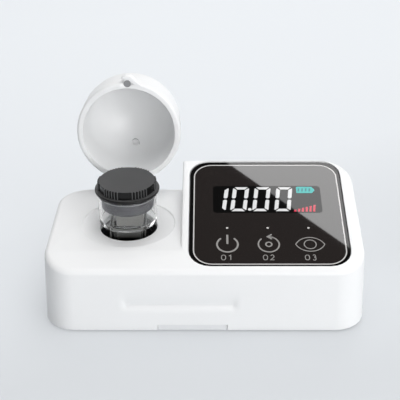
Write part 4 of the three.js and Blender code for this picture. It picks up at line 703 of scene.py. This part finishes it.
def gate_mark_shadow():
    """A short dark arc of painted shadow that thins out at both ends, laid on the inside of the lid."""
    shell = frame["nodes"]["lid_shell"].data
    tree = BVHTree.FromPolygons([v.co for v in shell.vertices], [p.vertices for p in shell.polygons])
    low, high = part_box("lid_shell")
    middle = Vector(((low.x + high.x) / 2 + MARK_RIGHT * MM, low.y - MARK_START_GAP * MM, MARK_Z * MM))
    bm = bmesh.new()
    rings = []
    for i in range(MARK_STEPS + 1):
        angle = math.radians(MARK_SPAN[0] + (MARK_SPAN[1] - MARK_SPAN[0]) * i / MARK_STEPS)
        out = Vector((math.cos(angle), 0, math.sin(angle)))
        place, normal = tree.ray_cast(middle + out * MARK_R * MM, Vector((0, 1, 0)))[:2]
        side = (out - normal * out.dot(normal)).normalized()
        swell = MARK_END_SHARE + (1 - MARK_END_SHARE) * math.sin(math.pi * i / MARK_STEPS)
        tube = MARK_TUBE * swell * MM
        rings.append([
            bm.verts.new(place + (side * math.cos(b) + normal * math.sin(b) / MARK_FLATNESS) * tube)
            for b in circle(MARK_SIDES)
        ])
    mesh = tube_mesh(bm, rings, "gate_mark_shadow", closed=False)
    add_piece("gate_mark_shadow", mesh, MARK_SHADE, BODY_OF["lid_shell"])


gate_mark_shadow()


# Case screws, seen from below: a round head with a cross recess
SCREW_SIDES = 28
SCREW_HEAD_T = 1.8
SCREW_SHANK_R = 1.25
SCREW_HEAD_EDGE = 0.35
CROSS_HALF_W, CROSS_REACH, CROSS_DEPTH = 0.35, 1.35, 1.0
CROSS_TAPER = 0.75


def cross_outline(scale=1.0):
    w, r = CROSS_HALF_W * scale, CROSS_REACH * scale
    arm = ((w, w), (w, r), (-w, r), (-w, w))
    made = []
    for k in range(4):
        c, s = math.cos(k * math.pi / 2), math.sin(k * math.pi / 2)
        made += [(x * c - y * s, x * s + y * c) for x, y in arm[1:]]
    return made


def case_screw(name):
    low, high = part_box(name)
    middle = (low + high) / 2
    head_r = (high.x - low.x) / 2 / MM
    length = (high.z - low.z) / MM
    rows = (
        (head_r - SCREW_HEAD_EDGE, 0), (head_r, SCREW_HEAD_EDGE), (head_r, SCREW_HEAD_T),
        (SCREW_SHANK_R, SCREW_HEAD_T), (SCREW_SHANK_R, length - SCREW_SHANK_R), (SCREW_SHANK_R / 4, length),
    )
    bm = bmesh.new()

    def vert(x, y, z):
        return bm.verts.new((middle.x + x * MM, middle.y + y * MM, low.z + z * MM))

    rings = [[vert(r * math.cos(a), r * math.sin(a), z) for a in circle(SCREW_SIDES)] for r, z in rows]
    bridge(bm, rings)
    bm.faces.new(rings[-1])
    mouth = [vert(x, y, 0) for x, y in cross_outline()]
    recess_floor = [vert(x, y, CROSS_DEPTH) for x, y in cross_outline(CROSS_TAPER)]
    bridge(bm, [mouth, recess_floor])
    bm.faces.new(recess_floor)
    rim = rings[0] + mouth
    loops = [[v.co for v in rings[0]], [v.co for v in mouth]]
    for triangle in tessellate_polygon(loops):
        bm.faces.new([rim[i] for i in triangle])
    bmesh.ops.recalc_face_normals(bm, faces=bm.faces)
    stand_for(name, mesh_of(bm, name + "_skin"), SMOOTH_DEG)


for node_name in frame["nodes"]:
    if node_name.startswith("case_screw"):
        case_screw(node_name)


# Marks of the panel, thin films on its surface
MITRE_LIMIT = 0.35
CORNER_STEPS = 8
DOT_SIDES = 24


def plates(name, outlines, material, layer=1):
    """Flat outlines in panel millimetres, each a list of (x, v) points, as thin closed plates."""
    bm = bmesh.new()
    low, high = GLASS_N - FILM, GLASS_N + FILM * layer
    for outline in outlines:
        area = sum(a[0] * b[1] - b[0] * a[1] for a, b in zip(outline, outline[1:] + outline[:1]))
        if area < 0:
            outline = outline[::-1]
        bottom = [bm.verts.new(panel_point(x, v, low)) for x, v in outline]
        top = [bm.verts.new(panel_point(x, v, high)) for x, v in outline]
        bm.faces.new(top)
        bm.faces.new(bottom[::-1])
        bridge(bm, [bottom, top])
    add_piece(name, mesh_of(bm, name), material, "housing")


def ribbon(path, width, closed=False):
    """The quads of a line of some width along a path."""
    count = len(path)
    points = [Vector(p) for p in path]
    sides = []
    for i, p in enumerate(points):
        before = points[i - 1] if (i or closed) else None
        after = points[(i + 1) % count] if (i + 1 < count or closed) else None
        a = (p - before).normalized() if before is not None else (after - p).normalized()
        b = (after - p).normalized() if after is not None else a
        na, nb = Vector((-a.y, a.x)), Vector((-b.y, b.x))
        n = (na + nb).normalized()
        n *= (width / 2) / max(MITRE_LIMIT, n.dot(na))
        sides.append((p + n, p - n))
    quads = []
    for i in range(count if closed else count - 1):
        j = (i + 1) % count
        quads.append([tuple(sides[i][1]), tuple(sides[j][1]), tuple(sides[j][0]), tuple(sides[i][0])])
    return quads


def arc(cx, cy, r, a0, a1, steps):
    angles = [math.radians(a0 + (a1 - a0) * i / steps) for i in range(steps + 1)]
    return [(cx + r * math.cos(a), cy + r * math.sin(a)) for a in angles]


def dot(cx, cy, r, sides=DOT_SIDES):
    return arc(cx, cy, r, 0, 360, sides)[:-1]


def leaning_bar(x, width, low, high, lean):
    """A bar whose top stands to the right of its foot."""
    return [(x, low), (x + width, low), (x + width + lean, high), (x + lean, high)]


def rounded(x0, x1, v0, v1, r, steps=CORNER_STEPS):
    corners = ((x1 - r, v0 + r, -90), (x1 - r, v1 - r, 0), (x0 + r, v1 - r, 90), (x0 + r, v0 + r, 180))
    return [p for cx, cy, a in corners for p in arc(cx, cy, r, a, a + 90, steps)]


def band(outer, inner):
    """The quads between two outlines with as many points."""
    quads = []
    for i in range(len(outer)):
        j = (i + 1) % len(outer)
        quads.append([outer[i], outer[j], inner[j], inner[i]])
    return quads


# Printed frame line near the edge of the glass, and the blacker border outside it
LINE_W = 0.5
LINE_R = 7.8
LINE_BOX = (GLASS_X0 + 1.95, GLASS_X1 - 1.7, GLASS_V0 + 1.25, GLASS_V1 - 2.25)
line_path = rounded(*LINE_BOX, LINE_R)
glass_edge = rounded(
    GLASS_X0 + GLASS_BEVEL, GLASS_X1 - GLASS_BEVEL, GLASS_V0 + GLASS_BEVEL, GLASS_V1 - GLASS_BEVEL,
    GLASS_R - GLASS_BEVEL,
)
plates("panel_border", band(glass_edge, line_path), BORDER, 1)
plates("panel_frame_line", ribbon(line_path, LINE_W, closed=True), LINE_SILVER, 2)

# Display window
WINDOW_BOX = (GLASS_X0 + 10.2, GLASS_X1 - 9.55, 22.6, 39.6)
WINDOW_R = 1.7
plates("display_window", [rounded(*WINDOW_BOX, WINDOW_R)], WINDOW, 1)

# Figures: seven-part digits, leaning to the right
DIGIT_V0, DIGIT_V1 = 23.6, 38.78
DIGIT_HALF = 3.52
DIGIT_STROKE = 1.7
DIGIT_BAR = 1.5
DIGIT_CUT = 0.62
DIGIT_SLIT = 0.42
DIGIT_TIP_GAP = 0.48
DIGIT_TIP_H = 0.5
DIGIT_TIP_SHARE = 0.28
DIGIT_LEAN = 0.115
DIGIT_MIDDLES = (6.43, 15.4, 24.9, 34.5)
POINT_AT, POINT_R = (19.6, 24.7), 0.8


def digit(mid, shown):
    """The bars of a digit by name, each leaned about the middle of its height."""
    vm = (DIGIT_V0 + DIGIT_V1) / 2
    h, s, bar, slit = DIGIT_HALF, DIGIT_STROKE, DIGIT_BAR, DIGIT_SLIT
    top, tip = DIGIT_V1 - vm, DIGIT_TIP_GAP
    side = [
        (-h, top - DIGIT_CUT - slit), (-h + DIGIT_CUT / 2, top - DIGIT_CUT / 2 - slit),
        (-h + s, top - s - slit / 2), (-h + s, tip + DIGIT_TIP_H), (-h + s * (1 - DIGIT_TIP_SHARE), tip),
        (-h + s * DIGIT_TIP_SHARE, tip), (-h, tip + DIGIT_TIP_H),
    ]
    bars = {
        "top": [
            (-h + DIGIT_CUT, top), (h - DIGIT_CUT, top),
            (h - s - slit / 2, top - bar), (-h + s + slit / 2, top - bar),
        ],
        "upper_left": side,
        "upper_right": [(-x, v) for x, v in side],
    }
    for upper, lower in (("top", "bottom"), ("upper_left", "lower_left"), ("upper_right", "lower_right")):
        bars[lower] = [(x, -v) for x, v in bars[upper]]
    return [[(mid + x + v * DIGIT_LEAN, vm + v) for x, v in bars[key]] for key in shown]


ONE = ("upper_right", "lower_right")
ZERO = ("top", "bottom", "upper_right", "lower_right", "upper_left", "lower_left")
figures = digit(DIGIT_MIDDLES[0], ONE)
for middle in DIGIT_MIDDLES[1:]:
    figures += digit(middle, ZERO)
figures.append(dot(*POINT_AT, POINT_R))
plates("display_figures", figures, DIGIT_WHITE, 2)

# Battery mark with four cells
BATTERY_BOX = (40.46, 47.57, 34.98, 39.0)
BATTERY_R = 0.5
BATTERY_NUB = 0.85
BATTERY_STEPS = 4
NUB_HALF = 0.95
NUB_FLARE = 1.6
CELL_COUNT = 4
CELL_FIRST_X, CELL_PITCH, CELL_W, CELL_LEAN = 41.0, 1.6, 0.72, 0.25
CELL_V0, CELL_V1 = 36.0, 38.0
battery_x1, battery_v0, battery_v1 = BATTERY_BOX[1:]
battery_v = (battery_v0 + battery_v1) / 2
nub = [
    (battery_x1, battery_v - NUB_FLARE * NUB_HALF), (battery_x1 + BATTERY_NUB, battery_v - NUB_HALF / 2),
    (battery_x1 + BATTERY_NUB, battery_v + NUB_HALF / 2), (battery_x1, battery_v + NUB_FLARE * NUB_HALF),
]
plates("battery_mark", [rounded(*BATTERY_BOX, BATTERY_R, BATTERY_STEPS), nub], MARK_TEAL, 2)
cells = []
for k in range(CELL_COUNT):
    cells.append(leaning_bar(CELL_FIRST_X + k * CELL_PITCH, CELL_W, CELL_V0, CELL_V1, CELL_LEAN))
plates("battery_cells", cells, MARK_TEAL_DARK, 3)

# A row of red level bars
BAR_COUNT = 6
BAR_FIRST_X, BAR_PITCH, BAR_W = 38.7, 1.63, 0.95
BAR_V0, BAR_SHORT, BAR_STEP = 23.3, 1.2, 0.58
bars = []
for k in range(BAR_COUNT):
    tall = BAR_SHORT + k * BAR_STEP
    bars.append(leaning_bar(BAR_FIRST_X + k * BAR_PITCH, BAR_W, BAR_V0, BAR_V0 + tall, tall * DIGIT_LEAN))
plates("level_bars", bars, MARK_RED, 2)

# Indicator dots over the keys
KEYS_X = (9.6, 26.85, 44.1)
LIGHT_V, LIGHT_R = 13.45, 0.5
plates("key_lights", [dot(x, LIGHT_V, LIGHT_R) for x in KEYS_X], LED_WHITE, 1)

# Key signs: a power mark, a returning arrow round a small ring, and an eye
SIGN_R = 4.35
SIGN_LINE = 0.62
THIN_LINE = 0.43
KEY_V = 3.85
POWER_GAP_DEG = 38
POWER_STEPS = 40
POWER_RING_BOLD, POWER_BAR_BOLD = 1.25, 1.4
POWER_BAR_START, POWER_BAR_REACH = 0.2, 1.27
ARROW_SPAN = (-228, 88)
ARROW_STEPS = 44
ARROW_RISE, ARROW_RUN, ARROW_IN, ARROW_LIFT = 1.35, 1.9, 0.45, 0.05
SMALL_RING_R, SMALL_RING_SIDES = 1.25, 20
EYE_HALF, EYE_RISE, EYE_STEPS = 6.05, 3.95, 24
IRIS_R, IRIS_SIDES = 2.5, 36


def power_sign(x):
    ring_path = arc(x, KEY_V, SIGN_R, POWER_GAP_DEG + 90 - 360, 90 - POWER_GAP_DEG, POWER_STEPS)
    bar = [(x, KEY_V + POWER_BAR_START), (x, KEY_V + SIGN_R * POWER_BAR_REACH)]
    return ribbon(ring_path, SIGN_LINE * POWER_RING_BOLD) + ribbon(bar, SIGN_LINE * POWER_BAR_BOLD)


def arrow_sign(x):
    tip = (x - ARROW_IN, KEY_V + SIGN_R + ARROW_LIFT)
    head = [(tip[0] + ARROW_RUN, tip[1] + ARROW_RISE), tip, (tip[0] + ARROW_RUN, tip[1] - ARROW_RISE)]
    made = ribbon(arc(x, KEY_V, SIGN_R, *ARROW_SPAN, ARROW_STEPS), SIGN_LINE) + ribbon(head, SIGN_LINE)
    return made + ribbon(dot(x, KEY_V, SMALL_RING_R, SMALL_RING_SIDES), SIGN_LINE, closed=True)


def eye_sign(x):
    radius = (EYE_HALF ** 2 + EYE_RISE ** 2) / (2 * EYE_RISE)
    span = math.degrees(math.asin(EYE_HALF / radius))
    upper = arc(x, KEY_V + EYE_RISE - radius, radius, 90 + span, 90 - span, EYE_STEPS)
    lower = [(px, 2 * KEY_V - pv) for px, pv in upper[::-1]]
    made = ribbon(upper + lower[1:-1], THIN_LINE, closed=True)
    return made + ribbon(dot(x, KEY_V, IRIS_R, IRIS_SIDES), THIN_LINE, closed=True)


plates("key_signs", power_sign(KEYS_X[0]) + arrow_sign(KEYS_X[1]) + eye_sign(KEYS_X[2]), PRINT_GREY, 1)

# Plain numbers under the keys
NUMBER_V0, NUMBER_H = -4.95, 2.7
NUMBER_W, NUMBER_PITCH, NUMBER_LINE = 1.75, 2.85, 0.34
NUMBER_OFF = -0.3
# The strokes of each figure, in a box one wide and one high
STROKES = {
    "0": [rounded(-0.5, 0.5, 0, 1, 0.42, 5)],
    "1": [[(-0.35, 0.78), (0.08, 1.0), (0.08, 0.0)]],
    "2": [arc(0, 0.68, 0.36, 160, -20, 8) + [(-0.42, 0.0), (0.45, 0.0)]],
    "3": [arc(0, 0.76, 0.3, 150, -75, 8) + arc(0, 0.28, 0.36, 75, -150, 10)],
}


def number(text, mid):
    quads = []
    for k, sign in enumerate(text):
        cx = mid + (k - (len(text) - 1) / 2) * NUMBER_PITCH
        for path in STROKES[sign]:
            line = [(cx + x * NUMBER_W, NUMBER_V0 + y * NUMBER_H) for x, y in path]
            quads += ribbon(line, NUMBER_LINE, closed=sign == "0")
    return quads


labels = []
for x, text in zip(KEYS_X, ("01", "02", "03")):
    labels += number(text, x + NUMBER_OFF)
plates("key_numbers", labels, PRINT_GREY, 1)


# Floor
FLOOR_COLOR = (0.68, 0.705, 0.73)
FLOOR_ROUGH, FLOOR_GLOSS = 0.9, 0.1
FLOOR_SIZE = 4.0
FLOOR_GLOW_SHARE = 0.5
FLOOR_GLOW_TINT = (0.935, 0.965, 1.0)
FLOOR_GLOW = 1.09
FLOOR_GLOW_SLANT = -0.6
FLOOR_GLOW_PLACES = (-0.12, 0.42)
FLOOR_GLOW_LEVELS = ((0.15, 0.70), (0.28, 0.81), (0.39, 0.915), (0.59, 0.955), (1.0, 0.99))
NEW_STOP = 0.5


def seen_directly(tree):
    """1 for the camera and for what gloss and glass show of the surround, 0 for the light that it sends."""
    path = node(tree, "ShaderNodeLightPath")
    total = path.outputs["Is Camera Ray"]
    for name in ("Is Glossy Ray", "Is Transmission Ray"):
        total = maths(tree, "ADD", total, path.outputs[name], use_clamp=True)
    return total


def floor():
    """Pale paper that keeps the shadow, lifted towards white for the eye alone."""
    bm = bmesh.new()
    bmesh.ops.create_grid(bm, x_segments=2, y_segments=2, size=FLOOR_SIZE)
    made = linked("floor", mesh_of(bm, "floor"))
    mat, tree, shader = principled("floor_paper")
    shader.inputs["Roughness"].default_value = FLOOR_ROUGH
    shader.inputs["Specular IOR Level"].default_value = FLOOR_GLOSS
    shader.inputs["Base Color"].default_value = (*FLOOR_COLOR, 1)

    # Painted light: the glow is graded brighter towards the back and the left of the floor.
    place = parts(tree, node(tree, "ShaderNodeTexCoord").outputs["Object"])
    slant = maths(tree, "MULTIPLY_ADD", place["X"], FLOOR_GLOW_SLANT, place["Y"])
    along = ranged(tree, slant, From_Min=FLOOR_GLOW_PLACES[0], From_Max=FLOOR_GLOW_PLACES[1])
    ramp = node(tree, "ShaderNodeValToRGB")
    stops = ramp.color_ramp.elements
    while len(stops) < len(FLOOR_GLOW_LEVELS):
        stops.new(NEW_STOP)
    for stop, (at, level) in zip(stops, FLOOR_GLOW_LEVELS):
        stop.position = at
        stop.color = (*shade_of(FLOOR_GLOW_TINT, level), 1)
    tree.links.new(along, ramp.inputs["Fac"])
    glow = node(tree, "ShaderNodeEmission", Strength=FLOOR_GLOW)
    tree.links.new(ramp.outputs["Color"], glow.inputs["Color"])

    share = maths(tree, "MULTIPLY", seen_directly(tree), FLOOR_GLOW_SHARE)
    mixed = node(tree, "ShaderNodeMixShader")
    tree.links.new(share, mixed.inputs["Fac"])
    tree.links.new(shader.outputs["BSDF"], mixed.inputs[1])
    tree.links.new(glow.outputs["Emission"], mixed.inputs[2])
    tree.links.new(mixed.outputs["Shader"], tree.nodes["Material Output"].inputs["Surface"])
    made.data.materials.append(mat)


floor()


# Lights and camera: each light's name, place and size in metres, and power in watts
LIGHTS = (
    ("top", (0.1, -0.1, 1.4), (1.2, 1.2), 13.2),
    ("right_front", (1.1, -0.9, 0.55), (1.0, 0.8), 5.2),
    ("front_low", (0.6, -1.2, 0.35), (1.0, 0.6), 7.9),
    ("rear_key", (0.75, 0.75, 1.0), (1.3, 1.3), 1.7),
    ("back", (0.0, 1.3, 0.7), (1.6, 0.9), 5.4),
    ("back_top", (0.0, 0.8, 1.15), (1.2, 1.2), 1.6),
)
DIFFUSE_ONLY = ("top", "rear_key", "back", "back_top")
LIGHT_TOWARD = (0, 0, 0.03)


def area_light(name, at, size, power):
    data = bpy.data.lights.new(name, "AREA")
    data.shape = "RECTANGLE"
    data.size, data.size_y = size
    data.energy = power
    lamp = linked(name, data)
    lamp.visible_glossy = name not in DIFFUSE_ONLY
    lamp.location = at
    lamp.rotation_mode = "QUATERNION"
    lamp.rotation_quaternion = (Vector(LIGHT_TOWARD) - Vector(at)).to_track_quat("-Z", "Y")


def camera():
    data = bpy.data.cameras.new("camera")
    data.sensor_width = SENSOR_MM
    data.lens = FOCAL_PX / IMAGE_PX * SENSOR_MM
    data.clip_start, data.clip_end = CLIP_NEAR, CLIP_FAR
    made = linked("camera", data)
    ahead = Vector((
        math.sin(CAMERA_YAW) * math.cos(CAMERA_PITCH),
        math.cos(CAMERA_YAW) * math.cos(CAMERA_PITCH),
        -math.sin(CAMERA_PITCH),
    ))
    right = Vector((math.cos(CAMERA_YAW), -math.sin(CAMERA_YAW), 0))
    up = right.cross(ahead)
    c, s = math.cos(CAMERA_ROLL), math.sin(CAMERA_ROLL)
    turn = Matrix((c * right + s * up, -s * right + c * up, -ahead)).transposed().to_4x4()
    made.matrix_world = Matrix.Translation(Vector(CAMERA_AT) * MM) @ turn
    bpy.context.scene.camera = made


camera()
for light in LIGHTS:
    area_light(*light)


def reflected(x, v, height):
    """Where the sight line that the panel throws back at (x, v) crosses a level height, in metres."""
    at = panel_point(x, v, GLASS_N)
    ahead = (at - Vector(CAMERA_AT) * MM).normalized()
    normal = Vector((0, -math.sin(TILT), math.cos(TILT)))
    back = ahead - 2 * ahead.dot(normal) * normal
    return at + back * ((height - at.z) / back.z)


# The card's corners as the panel shows them, in panel millimetres
CARD_CORNERS = ((-8.1, 75.0), (84.0, -23.8), (110.0, 75.0))
CARD_HEIGHT = 0.85
CARD_STRENGTH = 5.8


def glass_card():
    """A bright card over the instrument whose edge crosses the panel's reflection slantwise."""
    corners = [reflected(*p, CARD_HEIGHT) for p in CARD_CORNERS]
    mesh = bpy.data.meshes.new("glass_card")
    mesh.from_pydata([tuple(c) for c in corners], [], [tuple(range(len(corners)))])
    made = linked("glass_card", mesh)
    mat = bpy.data.materials.new("glass_card")
    mat.use_nodes = True
    tree = mat.node_tree
    tree.nodes.clear()
    glow = node(tree, "ShaderNodeEmission", Strength=CARD_STRENGTH)
    out = node(tree, "ShaderNodeOutputMaterial")
    tree.links.new(glow.outputs["Emission"], out.inputs["Surface"])
    mesh.materials.append(mat)
    made.visible_camera = False
    made.visible_shadow = False


glass_card()

WORLD_TINT = (0.975, 0.99, 1.0)
WORLD_TOP = 0.12
WORLD_RIM = 0.95
WORLD_FALL = (0.52, 0.8)
WORLD_LIGHT_SHARE = 0.2


def studio_world():
    """A pale surround up to about thirty degrees over the horizon, darker overhead."""
    made = bpy.data.worlds.new("studio")
    made.use_nodes = True
    tree = made.node_tree
    glow = tree.nodes["Background"]
    glow.inputs["Color"].default_value = (*WORLD_TINT, 1)
    toward = parts(tree, node(tree, "ShaderNodeTexCoord").outputs["Generated"])
    fall = ranged(
        tree, toward["Z"], From_Min=WORLD_FALL[0], From_Max=WORLD_FALL[1], To_Min=WORLD_RIM, To_Max=WORLD_TOP,
        interpolation_type="SMOOTHSTEP",
    )
    share = ranged(tree, seen_directly(tree), To_Min=WORLD_LIGHT_SHARE, To_Max=1.0)
    tree.links.new(maths(tree, "MULTIPLY", fall, share), glow.inputs["Strength"])
    bpy.context.scene.world = made


studio_world()
bpy.context.scene.view_settings.view_transform = "Standard"
